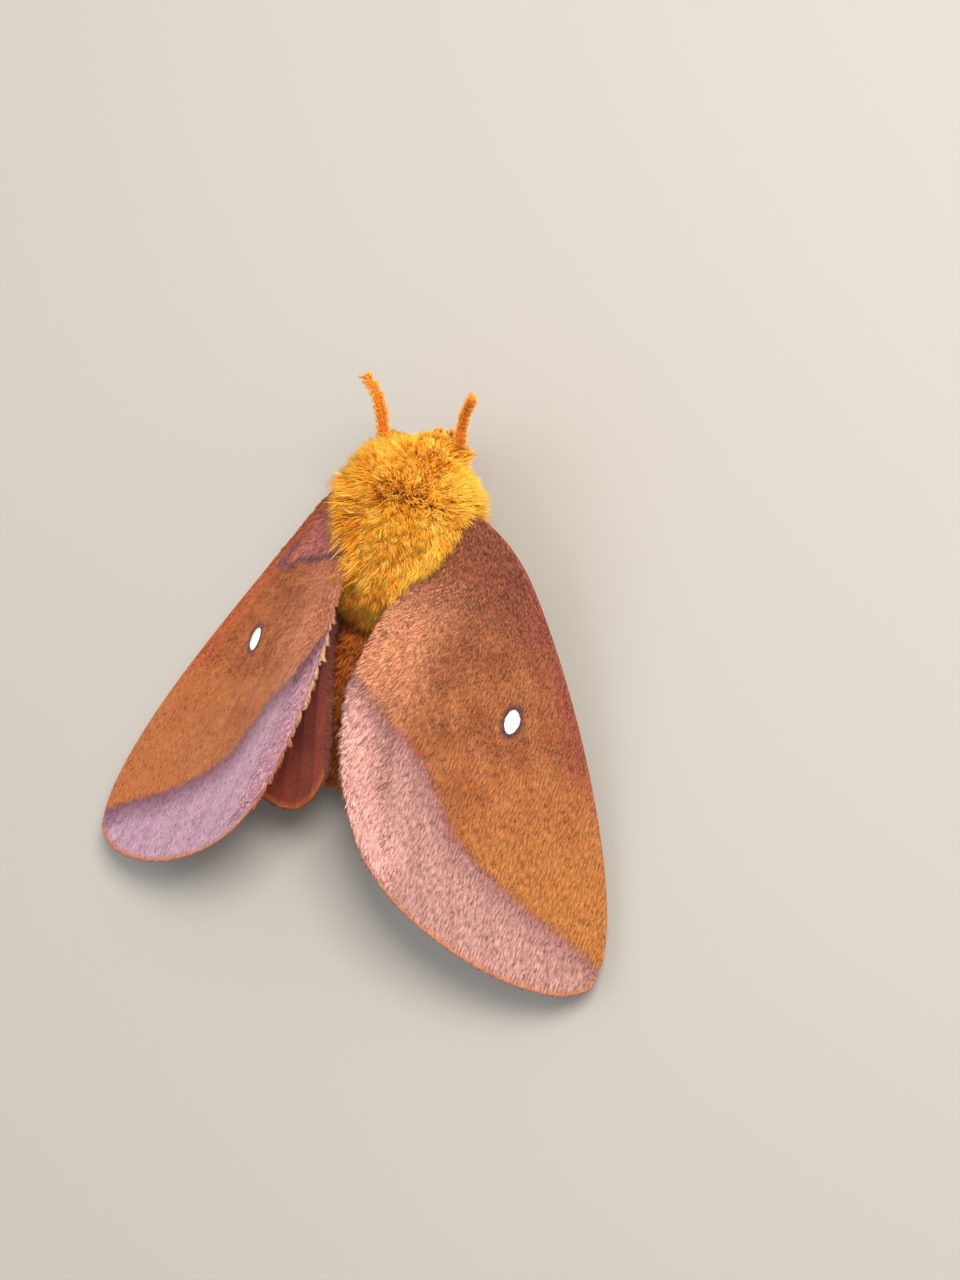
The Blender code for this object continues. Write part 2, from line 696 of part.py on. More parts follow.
def build():
    clear_scene()
    parts = bpy.data.collections.new("oakworm_moth")
    bpy.context.scene.collection.children.link(parts)
    coat_colour = make_material("orange_coat", "E8941A", 0.9)
    wing_colour = make_material("wing_scales", "B5683A", 0.7)
    hind_colour = make_material("hindwing_scales", "A85A48", 0.7)
    limb_colour = make_material("limb", "C8701C", 0.7)
    eye_colour = make_material("eye", "1E1410", 0.2)

    nodes = {}
    rooms = []
    sides = {"left": -1, "right": 1}
    for side_name in sides:
        for kind, place, veins, rows, chord, colour in (
            ("forewing", forewing_points, FORE_VEINS, 14, 13.0, wing_colour),
            ("hindwing", hindwing_points, HIND_VEINS, 10, 10.0, hind_colour),
        ):
            name = f"{kind}_{side_name}"
            solid, room = wing(name, parts, place, side_name, veins, rows, chord)
            nodes[name] = (solid, colour)
            rooms += room
    for kind in LEG_PATHS:
        for side_name, side in sides.items():
            name = f"leg_{kind}_{side_name}"
            nodes[name] = (leg(name, parts, kind, side), limb_colour)
            rooms.append(leg(name + "_room", parts, kind, side, GAP + 0.16))
    nodes["abdomen"] = (abdomen("abdomen", parts), coat_colour)
    rooms.append(abdomen("abdomen_room", parts, GAP + 0.03))
    for side_name, side in sides.items():
        nodes[f"eye_{side_name}"] = (eye(f"eye_{side_name}", parts, side), eye_colour)
        rooms.append(eye("room", parts, side, GAP + 0.06))
        name = f"antenna_{side_name}"
        nodes[name] = (antenna(name, parts, side), limb_colour)
        rooms.append(antenna(name + "_room", parts, side, GAP + 0.08))
    nodes["head"] = (head(parts), coat_colour)
    rooms.append(hull_room(nodes["head"][0], parts, GAP + 0.06))
    body = thorax(parts)
    boolean(body, rooms, "DIFFERENCE")
    nodes["thorax"] = (body, coat_colour)
    finish(nodes)


def finish(nodes):
    """Gives the solids their materials, and puts the middle of their box on the origin."""
    points = np.array([v.co for solid, _ in nodes.values() for v in solid.data.vertices])
    low, high = points.min(axis=0), points.max(axis=0)
    centre = Vector(((low[0] + high[0]) / 2, (low[1] + high[1]) / 2, 0.0))
    for solid, colour in nodes.values():
        solid.data.transform(Matrix.Scale(MM, 4) @ Matrix.Translation(-centre))
        solid.data.materials.clear()
        solid.data.materials.append(colour)
        solid.data.shade_smooth()
        solid.data.set_sharp_from_angle(angle=math.radians(40.0))


build()
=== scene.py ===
# A female pink-striped oakworm moth at rest, life size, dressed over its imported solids.
# Shapes are worked out in millimetres in the moth's own place, with the head towards +Y and the
# floor at Z = 0, and placed() moves them into the frame, in metres.

import math

import bmesh
import bpy
import numpy as np
from mathutils import Matrix, Vector
from mathutils.bvhtree import BVHTree


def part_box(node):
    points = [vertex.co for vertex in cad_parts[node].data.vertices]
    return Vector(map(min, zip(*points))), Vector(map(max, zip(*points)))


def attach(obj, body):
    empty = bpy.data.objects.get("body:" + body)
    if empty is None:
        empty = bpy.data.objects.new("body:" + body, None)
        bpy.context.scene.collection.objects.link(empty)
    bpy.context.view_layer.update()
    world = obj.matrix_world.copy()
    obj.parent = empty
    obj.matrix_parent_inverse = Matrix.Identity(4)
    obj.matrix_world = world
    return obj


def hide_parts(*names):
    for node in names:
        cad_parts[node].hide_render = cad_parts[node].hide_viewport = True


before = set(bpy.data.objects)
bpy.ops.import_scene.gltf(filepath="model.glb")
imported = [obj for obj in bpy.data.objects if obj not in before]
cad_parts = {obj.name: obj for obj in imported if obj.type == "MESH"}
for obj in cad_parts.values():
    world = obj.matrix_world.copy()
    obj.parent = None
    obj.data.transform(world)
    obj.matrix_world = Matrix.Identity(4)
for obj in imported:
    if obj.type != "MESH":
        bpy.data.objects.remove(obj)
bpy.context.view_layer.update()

# Skin of the body: the soft cuticle of head, thorax and abdomen, in one closed piece. It is made
# of rounded forms that a voxel remesh joins, and it lies under the coat by the coat's depth.

MM = 0.001
HEAD_YAW = math.radians(8.0)
NECK = np.array((0.0, 3.0))
EYE_CENTRE = (1.35, 1.35, 3.95)
THORAX_CENTRE = np.array((-0.05, -0.5, 5.5))
THORAX_SKIN = np.array((3.15, 4.7, 3.0))
HEAD_SKIN = np.array((1.8, 1.35, 1.6))
ABDOMEN_START = np.array((0.0, -3.6, 4.2))
ABDOMEN_END = np.array((0.0, -17.2, 2.1))
ABDOMEN_WIDTH = 2.4
ABDOMEN_RINGS = 7
RING_GROOVE = 0.12
BODY_VOXEL = 0.12
SKIN_SMOOTHING = 5


def head_point(x, y, z):
    """A point of the head, given sideways, forward of the neck and above the floor."""
    turned_x = x * math.cos(HEAD_YAW) - y * math.sin(HEAD_YAW)
    turned_y = x * math.sin(HEAD_YAW) + y * math.cos(HEAD_YAW)
    return np.array((NECK[0] + turned_x, NECK[1] + turned_y, z))


eye_low, eye_high = [np.array(corner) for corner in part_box("eye_left")]
ORIGIN = head_point(-EYE_CENTRE[0], *EYE_CENTRE[1:]) - (eye_low + eye_high) / (2 * MM)
HEAD_CENTRE = head_point(0.0, 1.1, 4.2)


def placed(points):
    """Points in the moth's own millimetres as points of the frame, in metres."""
    return (np.asarray(points, float) - ORIGIN) * MM


def linear(hex_colour):
    """The sRGB hex colour as the linear one that shaders take."""
    channels = [int(hex_colour[i:i + 2], 16) / 255 for i in (1, 3, 5)]
    return (*[c / 12.92 if c <= 0.04045 else ((c + 0.055) / 1.055) ** 2.4 for c in channels], 1.0)


def add_node(tree, kind, settings=(), **links):
    """Adds a node; settings name its properties or its inputs, links its linked inputs."""
    node = tree.nodes.new(kind)
    for key, value in dict(settings).items():
        if isinstance(key, str) and hasattr(node, key):
            setattr(node, key, value)
        else:
            node.inputs[key].default_value = value
    for key, source in links.items():
        name = int(key[1:]) if key[0] == "i" and key[1:].isdigit() else key.replace("_", " ")
        tree.links.new(source, node.inputs[name])
    return node


def new_material(name, settings):
    """A material with its node tree and shader; settings are numbers on the shader's sockets."""
    material = bpy.data.materials.new(name)
    material.use_nodes = True
    tree = material.node_tree
    shader = tree.nodes["Principled BSDF"]
    for key, value in settings.items():
        shader.inputs[key].default_value = value
    return material, tree, shader


def unit(vectors):
    """The vectors made one long."""
    return vectors / (np.linalg.norm(vectors, axis=-1, keepdims=True) + 1e-12)


def ease(x):
    """0 below 0, 1 above 1, and a soft rise between."""
    x = np.clip(x, 0.0, 1.0)
    return x * x * (3 - 2 * x)


def smooth_path(points, count):
    """count points along the Catmull-Rom curve through the given points."""
    control = np.array(points, float)
    control = np.vstack([2 * control[0] - control[1], control, 2 * control[-1] - control[-2]])
    at = np.linspace(0, len(control) - 3 - 1e-9, count)
    k = at.astype(int)
    t = (at - k)[:, None]
    a, b, c, d = [control[k + i] for i in range(4)]
    return 0.5 * (
        2 * b + (c - a) * t + (2 * a - 5 * b + 4 * c - d) * t ** 2
        + (3 * b - a - 3 * c + d) * t ** 3
    )


def ring_frames(path):
    """Direction along a path at each point, and two directions across it that don't twist."""
    along = unit(np.gradient(path, axis=0))
    side = np.zeros_like(path)
    start = np.cross(along[0], (0.0, 0.0, 1.0))
    side[0] = unit(start if np.linalg.norm(start) > 0.1 else np.cross(along[0], (1.0, 0.0, 0.0)))
    for i in range(1, len(path)):
        side[i] = unit(side[i - 1] - along[i] * side[i - 1].dot(along[i]))
    return along, side, np.cross(along, side)


def tube_form(path, radii, sides=20):
    """Points and faces of a closed tube with rounded ends."""
    along, side, up = ring_frames(path)
    caps = ((0.0, 0.35), (0.35, 0.8))
    centres = [path[0] - along[0] * radii[0] * (0.75 - out) for out, _ in caps]
    widths = [radii[0] * width for _, width in caps]
    centres += list(path)
    widths += list(radii)
    centres += [path[-1] + along[-1] * radii[-1] * (0.75 - out) for out, _ in reversed(caps)]
    widths += [radii[-1] * width for _, width in reversed(caps)]
    index = np.clip(np.arange(len(centres)) - len(caps), 0, len(path) - 1)
    angle = np.linspace(0, 2 * math.pi, sides, endpoint=False)
    circle = np.cos(angle)[None, :, None] * side[index][:, None]
    circle = circle + np.sin(angle)[None, :, None] * up[index][:, None]
    points = np.array(centres)[:, None] + circle * np.array(widths)[:, None, None]
    rows = len(centres)
    faces = [tuple(range(sides))[::-1], tuple((rows - 1) * sides + i for i in range(sides))]
    for i in range(rows - 1):
        for j in range(sides):
            k = (j + 1) % sides
            faces.append((i * sides + j, i * sides + k, (i + 1) * sides + k, (i + 1) * sides + j))
    return points.reshape(-1, 3), faces


def yaw_turn(yaw):
    """A turn about the upright axis, for points that are rows."""
    return np.array((
        (math.cos(yaw), math.sin(yaw), 0), (-math.sin(yaw), math.cos(yaw), 0), (0, 0, 1),
    ))


def ball_form(centre, radii, yaw=0.0, segments=40, rings=26):
    """Points and faces of an ellipsoid, turned about its upright axis."""
    shape = bmesh.new()
    bmesh.ops.create_uvsphere(shape, u_segments=segments, v_segments=rings, radius=1.0)
    points = np.array([vert.co for vert in shape.verts]) * np.asarray(radii)
    faces = [tuple(vert.index for vert in face.verts) for face in shape.faces]
    shape.free()
    return points @ yaw_turn(yaw) + np.asarray(centre), faces


def shown(name, data, material):
    """An object in the scene that shows the mesh in the material."""
    obj = bpy.data.objects.new(name, data)
    bpy.context.scene.collection.objects.link(obj)
    data.materials.append(material)
    return obj


def new_object(name, points, faces, material):
    """An object with a smooth mesh of points given in the moth's own millimetres."""
    data = bpy.data.meshes.new(name)
    data.from_pydata(placed(points), [], faces)
    data.shade_smooth()
    return shown(name, data, material)


def joined_skin(name, forms, voxel, material):
    """One closed skin round overlapping forms, evened out where they meet."""
    points, faces = [], []
    for form_points, form_faces in forms:
        start = sum(len(p) for p in points)
        points.append(form_points)
        faces += [tuple(i + start for i in face) for face in form_faces]
    obj = new_object(name, np.vstack(points), faces, material)
    remesh = obj.modifiers.new("Join", "REMESH")
    remesh.mode = "VOXEL"
    remesh.voxel_size = voxel * MM
    even = obj.modifiers.new("Even", "SMOOTH")
    even.iterations = SKIN_SMOOTHING
    bpy.context.view_layer.update()
    data = bpy.data.meshes.new_from_object(obj.evaluated_get(bpy.context.evaluated_depsgraph_get()))
    obj.modifiers.clear()
    obj.data = data
    data.shade_smooth()
    return obj


def abdomen_ring(share):
    """Centre and radius of the abdomen's skin at a share of its length."""
    share = np.asarray(share, float)
    centre = ABDOMEN_START + (ABDOMEN_END - ABDOMEN_START) * share[..., None]
    centre[..., 2] += 0.35 * np.sin(math.pi * share)
    body = np.sin(math.pi * (0.27 + 0.66 * share)) ** 0.75
    groove = np.exp(-((share * ABDOMEN_RINGS - np.round(share * ABDOMEN_RINGS)) / 0.12) ** 2)
    return centre, ABDOMEN_WIDTH * body - RING_GROOVE * groove


def grained_chitin(name, look, per_mm, colours, strength, depth):
    """Chitin whose colour and height follow one leathery grain, with so many grains to a mm."""
    material, tree, shader = new_material(name, look)
    coords = add_node(tree, "ShaderNodeTexCoord").outputs["Object"]
    grain = add_node(tree, "ShaderNodeTexNoise", {"Scale": per_mm / MM, "Detail": 3.0}, Vector=coords)
    shade = add_node(tree, "ShaderNodeValToRGB", i0=grain.outputs["Fac"])
    for element, colour in zip(shade.color_ramp.elements, colours):
        element.color = linear(colour)
    tree.links.new(shade.outputs["Color"], shader.inputs["Base Color"])
    bump = add_node(
        tree, "ShaderNodeBump", {"Strength": strength, "Distance": depth * MM},
        Height=grain.outputs["Fac"],
    )
    tree.links.new(bump.outputs["Normal"], shader.inputs["Normal"])
    return material


# Cuticle: dull chitin with a leathery grain about 0.1 mm across, which gives the eye a matt brown
# ground in the partings of the coat
cuticle = grained_chitin(
    "dull_chitin_cuticle", {"Roughness": 0.6, "Specular IOR Level": 0.3},
    9.0, ("#7A3E12", "#A85C1C"), 0.4, 0.03,
)

PALP_OUT = 0.45
PALP_LINE = ((1.9, 3.3), (2.55, 2.9), (2.95, 2.95), (3.15, 3.15))
PALP_RADII = np.linspace(0.32, 0.14, 14)
palp_paths, palps = [], []
for side in (-1, 1):
    palp_path = [head_point(side * PALP_OUT, y, z) for y, z in PALP_LINE]
    palp_paths.append(smooth_path(palp_path, len(PALP_RADII)))
    palps.append(tube_form(palp_paths[-1], PALP_RADII, 14))
body_skin = joined_skin("body_skin", [
    ball_form(THORAX_CENTRE, THORAX_SKIN),
    ball_form(HEAD_CENTRE, HEAD_SKIN, HEAD_YAW),
    ball_form((0.0, 3.2, 4.4), (1.3, 1.3, 1.2)),
    ball_form(head_point(0.0, 1.75, 3.6), (0.75, 0.8, 0.8), HEAD_YAW),
    tube_form(*abdomen_ring(np.linspace(0, 1, 90)), 40),
    *palps,
], BODY_VOXEL, cuticle)
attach(body_skin, "root")
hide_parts("head", "thorax", "abdomen")

# Legs: six jointed limbs of chitin, folded under the body. Each is a soft tube with a swollen
# thigh, a thin shank with two spurs, and a foot of five short joints that lies flat.

SOLE = 0.24
LEG_VOXEL = 0.07
LEG_PATHS = {
    "fore": (
        (1.25, 2.0, 3.1), (1.6, 2.6, 2.1), (2.7, 1.8, 2.3), (2.35, 2.7, 0.9),
        (2.1, 3.1, SOLE), (1.3, 4.0, SOLE), (0.95, 4.4, SOLE),
    ),
    "middle": (
        (1.5, 0.0, 2.8), (2.2, 0.1, 2.0), (4.3, 0.7, 3.0), (5.3, 0.0, 0.95),
        (5.7, -0.4, SOLE), (6.6, -1.7, SOLE), (6.9, -2.3, SOLE),
    ),
    "hind": (
        (1.35, -2.3, 2.8), (2.1, -3.0, 2.0), (4.0, -4.7, 2.3), (4.9, -8.7, 0.9),
        (5.2, -9.5, SOLE), (5.4, -12.4, SOLE), (5.4, -13.2, SOLE),
    ),
}
THIGH_RADII = (0.42, 0.4, 0.33, 0.24)
FOOT_RADIUS = 0.17
FOOT_JOINTS = 5
FOOT_POINTS = 41
BONE_POINTS = 12
KNEE, ANKLE = 2 * BONE_POINTS, 3 * BONE_POINTS


def leg_path(kind, side):
    """The leg's bones as points, and the radius at each: round joints, swollen thigh."""
    path = np.array(LEG_PATHS[kind]) * (side, 1, 1)
    points, radii = [], []
    for i in range(3):
        for t in np.linspace(0, 1, BONE_POINTS, endpoint=False):
            points.append(path[i] * (1 - t) + path[i + 1] * t)
            radius = THIGH_RADII[i] * (1 - t) + THIGH_RADII[i + 1] * t
            radii.append(radius * (0.86 + 0.2 * math.sin(math.pi * t)))
    foot = path[3:]
    steps = np.concatenate([[0], np.cumsum(np.linalg.norm(np.diff(foot, axis=0), axis=1))])
    for t in np.linspace(0, 1, FOOT_POINTS):
        at = t * steps[-1]
        points.append(np.array([np.interp(at, steps, foot[:, k]) for k in range(3)]))
        swell = 0.75 + 0.25 * abs(math.sin(math.pi * FOOT_JOINTS * t)) ** 0.6
        radii.append((FOOT_RADIUS - 0.05 * t) * swell)
    points = np.array(points)
    radii = np.array(radii)
    points[:, 2] = np.maximum(points[:, 2], radii + 0.02)
    return points, radii


leg_forms = []
leg_nodes = []
leg_bones = []
for kind in LEG_PATHS:
    for side, side_name in ((-1, "left"), (1, "right")):
        points, radii = leg_path(kind, side)
        leg_bones.append((points, radii))
        leg_forms.append(tube_form(points, radii, 14))
        leg_nodes.append(f"leg_{kind}_{side_name}")
        toe = points[-1]
        ahead = unit(points[-1] - points[-4])
        # Two claws at the toe, then two spurs at the shank's end
        for splay in (-1, 1):
            across = np.array((-ahead[1], ahead[0], 0.0)) * splay
            claw = [toe, toe + ahead * 0.16 + across * 0.08, toe + ahead * 0.26 + across * 0.12]
            claw = [point + (0, 0, dz) for point, dz in zip(claw, (0, 0.03, -0.1))]
            leg_forms.append(tube_form(smooth_path(claw, 6), np.linspace(0.06, 0.03, 6), 8))
        if kind != "fore":
            ankle = points[ANKLE]
            down = unit(ankle - points[KNEE])
            for splay in (-1, 1):
                across = unit(np.cross(down, (0.0, 0.0, 1.0))) * splay
                steps = ((-0.2, 0.0), (0.25, 0.22), (0.6, 0.3))
                spur = np.array([ankle + down * far + across * out for far, out in steps])
                spur[:, 2] = np.maximum(spur[:, 2], 0.1)
                leg_forms.append(tube_form(smooth_path(spur, 6), np.linspace(0.08, 0.04, 6), 8))
leg_skin = joined_skin("leg_skin", leg_forms, LEG_VOXEL, cuticle)
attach(leg_skin, "root")
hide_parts(*leg_nodes)

# Eyes: two domes of clear chitin over dark facets, hard and smooth. Each is an ellipsoid set into
# the head's side, where the hair leaves it clear.

EYE_RADII = (0.76, 0.84, 0.84)
# Eye horn: glossy chitin in facets 0.05 mm across, which gives one small glint on a dark ball
eye_horn, tree, shader = new_material("faceted_eye_horn", {
    "Roughness": 0.16, "Coat Weight": 0.5, "Coat Roughness": 0.08,
})
coords = add_node(tree, "ShaderNodeTexCoord").outputs["Object"]
facets = add_node(tree, "ShaderNodeTexVoronoi", {"Scale": 20 / MM, "Randomness": 0.25}, Vector=coords)
bump = add_node(
    tree, "ShaderNodeBump", {"Strength": 0.5, "Distance": 0.02 * MM, "invert": True},
    Height=facets.outputs["Distance"],
)
tree.links.new(bump.outputs["Normal"], shader.inputs["Normal"])
fleck = add_node(tree, "ShaderNodeTexNoise", {"Scale": 2.5 / MM, "Detail": 2.0}, Vector=coords)
pupil = add_node(tree, "ShaderNodeValToRGB", i0=fleck.outputs["Fac"])
pupil.color_ramp.elements[0].color = linear("#120B09")
pupil.color_ramp.elements[1].color = linear("#3A2216")
tree.links.new(pupil.outputs["Color"], shader.inputs["Base Color"])
for side, side_name in ((-1, "left"), (1, "right")):
    centre = head_point(side * EYE_CENTRE[0], *EYE_CENTRE[1:])
    points, faces = ball_form(centre, EYE_RADII, HEAD_YAW, 64, 44)
    eye = new_object(f"eye_dome_{side_name}", points, faces, eye_horn)
    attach(eye, "root")
    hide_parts(f"eye_{side_name}")

# Wings: thin stiff membranes with raised veins, covered in scales like roof tiles. Each is a flat
# outline of three Bezier edges that its pose bends over the body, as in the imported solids.

FOREWING_LENGTH = 28.8
WING_CHORD = 14.0
MEMBRANE = 0.12
VEIN_RISE = 0.07
FORE_APEX = (FOREWING_LENGTH, 0.0)
FORE_ANGLE = (19.4, 13.05)
FORE_OUTLINE = (
    ((-1.0, 1.6), (4.1, -1.8), (24.3, -3.6), FORE_APEX),
    ((-0.2, 4.2), (4.9, 9.5), (9.0, 15.2), FORE_ANGLE),
    (FORE_APEX, (31.4, 3.0), (24.5, 11.6), FORE_ANGLE),
)
HIND_OUTLINE = {
    "right": (
        ((3.0, -1.7), (8.0, -3.0), (11.2, -9.0), (10.6, -14.0)),
        ((2.6, -4.2), (2.9, -8.4), (1.0, -11.0), (1.4, -17.0)),
        ((10.6, -14.0), (9.8, -18.4), (3.6, -21.8), (1.4, -17.0)),
    ),
    "left": (
        ((-3.0, -1.7), (-7.0, -3.4), (-9.4, -9.0), (-8.4, -15.0)),
        ((-2.4, -4.2), (-2.6, -8.4), (-0.6, -10.8), (-0.2, -17.0)),
        ((-8.4, -15.0), (-7.6, -20.2), (-0.8, -22.2), (-0.2, -17.0)),
    ),
}
FORE_POSE = {
    "right": {
        "side": 1.0, "base": (7.2, 1.8), "sweep": 26.75, "root_height": 5.45,
        "apex_height": 1.6, "base_slopes": (37.5, -1.9), "tip_slopes": (33.8, 4.4), "lift": 0.0,
    },
    "left": {
        "side": -1.0, "base": (7.0, 2.0), "sweep": 18.0, "root_height": 1.7,
        "apex_height": 1.8, "base_slopes": (41.7, 56.3), "tip_slopes": (16.2, 33.7), "lift": 4.2,
    },
}
FORE_ROOT = {
    "left": (np.array((3.8, 1.7, 5.9)), np.array((2.3, 0.5, 7.8))),
    "right": (np.array((3.3, 1.7, 6.1)), np.array((2.8, -0.6, 7.3))),
}
HIND_ROOT = {
    "left": (np.array((3.5, -2.3, 4.8)), np.array((2.2, -4.0, 6.0))),
    "right": (np.array((3.0, -1.9, 5.3)), np.array((2.6, -4.4, 5.4))),
}
ROOT_BLEND = 0.2
LIFT_REACH = 14.0
LIFT_DIRECTION = np.array((0.353, 0.0, 0.936))
HIND_BELOW = 1.2
ABDOMEN_COVER = 0.95
FORE_VEINS = (
    (0.05, 0.0), (0.10, 0.0), (0.22, 0.0), (0.28, 0.5), (0.34, 0.46), (0.45, 0.46),
    (0.56, 0.46), (0.67, 0.40), (0.78, 0.0), (0.91, 0.0),
)
ROOF_GRID = (30, 16)
DRAPE_GRID = (29, 21)
DRAPE_ROUNDS = 24
EDGE_POINTS = 25
HIND_VEINS = ((0.14, 0.0), (0.30, 0.0), (0.44, 0.45), (0.58, 0.45), (0.72, 0.0), (0.87, 0.0))


def bezier(points, t):
    """Points of a cubic curve through the first and last of four."""
    a, b, c, d = [np.array(p, float) for p in points]
    t = np.asarray(t, float)[..., None]
    return (1 - t) ** 3 * a + 3 * (1 - t) ** 2 * t * b + 3 * (1 - t) * t ** 2 * c + t ** 3 * d


def outline_patch(outline, p, q):
    """The flat wing: p runs from root to outer margin, q from front edge to inner margin."""
    front, inner, outer = outline
    root_front, root_inner = np.array(front[0]), np.array(inner[0])
    apex, angle = np.array(front[3]), np.array(inner[3])
    along, across = p[..., None], q[..., None]
    sides = (1 - across) * bezier(front, p) + across * bezier(inner, p)
    ends = (1 - along) * (root_front * (1 - across) + root_inner * across)
    ends = ends + along * bezier(outer, q)
    corners = (1 - along) * ((1 - across) * root_front + across * root_inner)
    corners = corners + along * ((1 - across) * apex + across * angle)
    return sides + ends - corners


def fore_surface(pose, flat):
    """Bends the flat wing over the body, and gives it as points in space."""
    sweep = math.radians(pose["sweep"])
    side = pose["side"]
    back = np.array((side * math.sin(sweep), -math.cos(sweep)))
    inward = np.array((-side * math.cos(sweep), -math.sin(sweep)))
    base = np.array((side * pose["base"][0], pose["base"][1]))
    drop = math.asin((pose["root_height"] - pose["apex_height"]) / FOREWING_LENGTH)
    along, across = flat[..., 0], flat[..., 1]
    share = np.clip(along / FOREWING_LENGTH, 0.0, 1.0)
    edge, inner = [
        np.radians(near + (far - near) * share)
        for near, far in zip(pose["base_slopes"], pose["tip_slopes"])
    ]
    change = (inner - edge) / WING_CHORD
    change = np.where(np.abs(change) < 1e-4, 1e-4, change)
    slope = edge + change * across
    reach = (np.sin(slope) - np.sin(edge)) / change
    rise = (np.cos(edge) - np.cos(slope)) / change
    level = base + back * (along * math.cos(drop))[..., None] + inward * reach[..., None]
    height = pose["root_height"] - along * math.sin(drop) + rise
    points = np.concatenate([level, height[..., None]], -1)
    lift = pose["lift"] * np.clip(1 - along / LIFT_REACH, 0.0, None) ** 2
    return points + lift[..., None] * LIFT_DIRECTION


def blend_root(points, p, q, root, side):
    """Draws the wing's base in to its hinge on the thorax."""
    across = q[..., None]
    hinge = (root[0] * (1 - across) + root[1] * across) * np.array((side, 1.0, 1.0))
    share = 1 - (1 - np.clip(p / ROOT_BLEND, 0.0, 1.0))[..., None] ** 2
    return hinge * (1 - share) + points * share


def forewing_points(name, p, q):
    """The folded forewing's upper face at each place."""
    pose = FORE_POSE[name]
    points = fore_surface(pose, outline_patch(FORE_OUTLINE, p, q))
    return blend_root(points, p, q, FORE_ROOT[name], pose["side"])


def even_grid(rows, columns):
    return np.meshgrid(np.linspace(0, 1, rows), np.linspace(0, 1, columns), indexing="ij")


def forewing_roof(name):
    """The forewing as triangles in space, and a tree of the same triangles laid flat."""
    rows, columns = ROOF_GRID
    grid = forewing_points(name, *even_grid(rows, columns))
    points = [Vector(point) for point in grid.reshape(-1, 3)]
    faces = []
    for i in range(rows - 1):
        for j in range(columns - 1):
            a = columns * i + j
            b = a + columns
            faces += [(a, b, a + 1), (a + 1, b, b + 1)]
    flat = [Vector((point.x, point.y, 0.0)) for point in points]
    return points, faces, BVHTree.FromPolygons(flat, faces)


def roof_over(roof, x, y):
    """The forewing's nearest point in plan: its distance, height and upward normal."""
    points, faces, plan = roof
    place, _, index, distance = plan.find_nearest(Vector((x, y, 0.0)))
    a, b, c = [points[corner] for corner in faces[index]]
    normal = (b - a).cross(c - a).normalized()
    normal = normal if normal.z > 0 else -normal
    height = a.z - (normal.x * (place.x - a.x) + normal.y * (place.y - a.y)) / normal.z
    return distance, height, normal


def smoothed(grid, rounds):
    """The grid with each value drawn towards its four neighbours, again and again."""
    for _ in range(rounds):
        wide = np.pad(grid, [(1, 1), (1, 1)] + [(0, 0)] * (grid.ndim - 2), mode="edge")
        around = wide[:-2, 1:-1] + wide[2:, 1:-1] + wide[1:-1, :-2] + wide[1:-1, 2:]
        grid = 0.5 * grid + 0.125 * around
    return grid


def hindwing_heights(name, roof):
    """Heights on an even grid: under the forewing, and draped over the abdomen's flank."""
    level = outline_patch(HIND_OUTLINE[name], *even_grid(*DRAPE_GRID))
    under = np.zeros(DRAPE_GRID)
    for i, j in np.ndindex(DRAPE_GRID):
        _, height, normal = roof_over(roof, *level[i, j])
        under[i, j] = height - HIND_BELOW / max(normal.z, 0.6)
    back = (4.0, 8.0, 12.0, 15.0, 18.0, 22.0)
    top = np.interp(-level[..., 1], back, (6.4, 6.6, 6.1, 5.1, 3.3, 3.0))
    out = np.abs(level[..., 0])
    sag = 0.12 * out ** 2 - 0.5 * np.clip(out - 3.0, 0.0, None) ** 2
    return smoothed(np.minimum(top + ABDOMEN_COVER - sag, under), DRAPE_ROUNDS)


def bilinear(grid, p, q):
    """The grid's value at each place, evened out between its four neighbours."""
    rows, columns = grid.shape[0] - 1, grid.shape[1] - 1
    row, column = np.clip(p * rows, 0, rows - 1e-6), np.clip(q * columns, 0, columns - 1e-6)
    i, j = row.astype(int), column.astype(int)
    u, v = row - i, column - j
    near = (1 - v) * grid[i, j] + v * grid[i, j + 1]
    far = (1 - v) * grid[i + 1, j] + v * grid[i + 1, j + 1]
    return (1 - u) * near + u * far


roofs = {name: forewing_roof(name) for name in FORE_POSE}
hind_heights = {name: hindwing_heights(name, roofs[name]) for name in FORE_POSE}


def hindwing_points(name, p, q):
    """The folded hindwing's upper face at each place."""
    level = outline_patch(HIND_OUTLINE[name], p, q)
    points = np.concatenate([level, bilinear(hind_heights[name], p, q)[..., None]], -1)
    return blend_root(points, p, q, HIND_ROOT[name], FORE_POSE[name]["side"])


def surface_normals(points):
    """Upward normals of a grid of points, evened out where the grid is pinched."""
    normal = unit(np.cross(np.gradient(points, axis=0), np.gradient(points, axis=1)))
    normal = normal if normal[..., 2].mean() > 0 else -normal
    return unit(smoothed(normal, 3))


def vein_profile(veins, p, q, chord):
    """How near each point is to a vein: 1 on it, falling to 0 about 0.3 mm away."""
    near = np.zeros_like(p)
    for place, start in veins:
        grown = ease((p - start) / 0.06 + 0.5) if start else 1.0
        bent = place + 0.02 * np.sin(3.0 * p + 9.0 * place)
        near = np.maximum(near, grown * np.exp(-((q - bent) * chord / 0.22) ** 2))
    return near


def line_distance(flat, line):
    """Signed distance to a line of points in the flat wing, positive on its outer side."""
    best = np.full(flat.shape[:-1], 1e9)
    signed = np.zeros(flat.shape[:-1])
    line = np.array(line)
    for a, b in zip(line[:-1], line[1:]):
        step = b - a
        share = np.clip(((flat - a) @ step) / (step @ step), 0.0, 1.0)
        offset = flat - (a + share[..., None] * step)
        distance = np.linalg.norm(offset, axis=-1)
        side = np.sign((flat - a) @ np.array((step[1], -step[0])))
        nearer = distance < best
        best = np.where(nearer, distance, best)
        signed = np.where(nearer, distance * side, signed)
    return signed


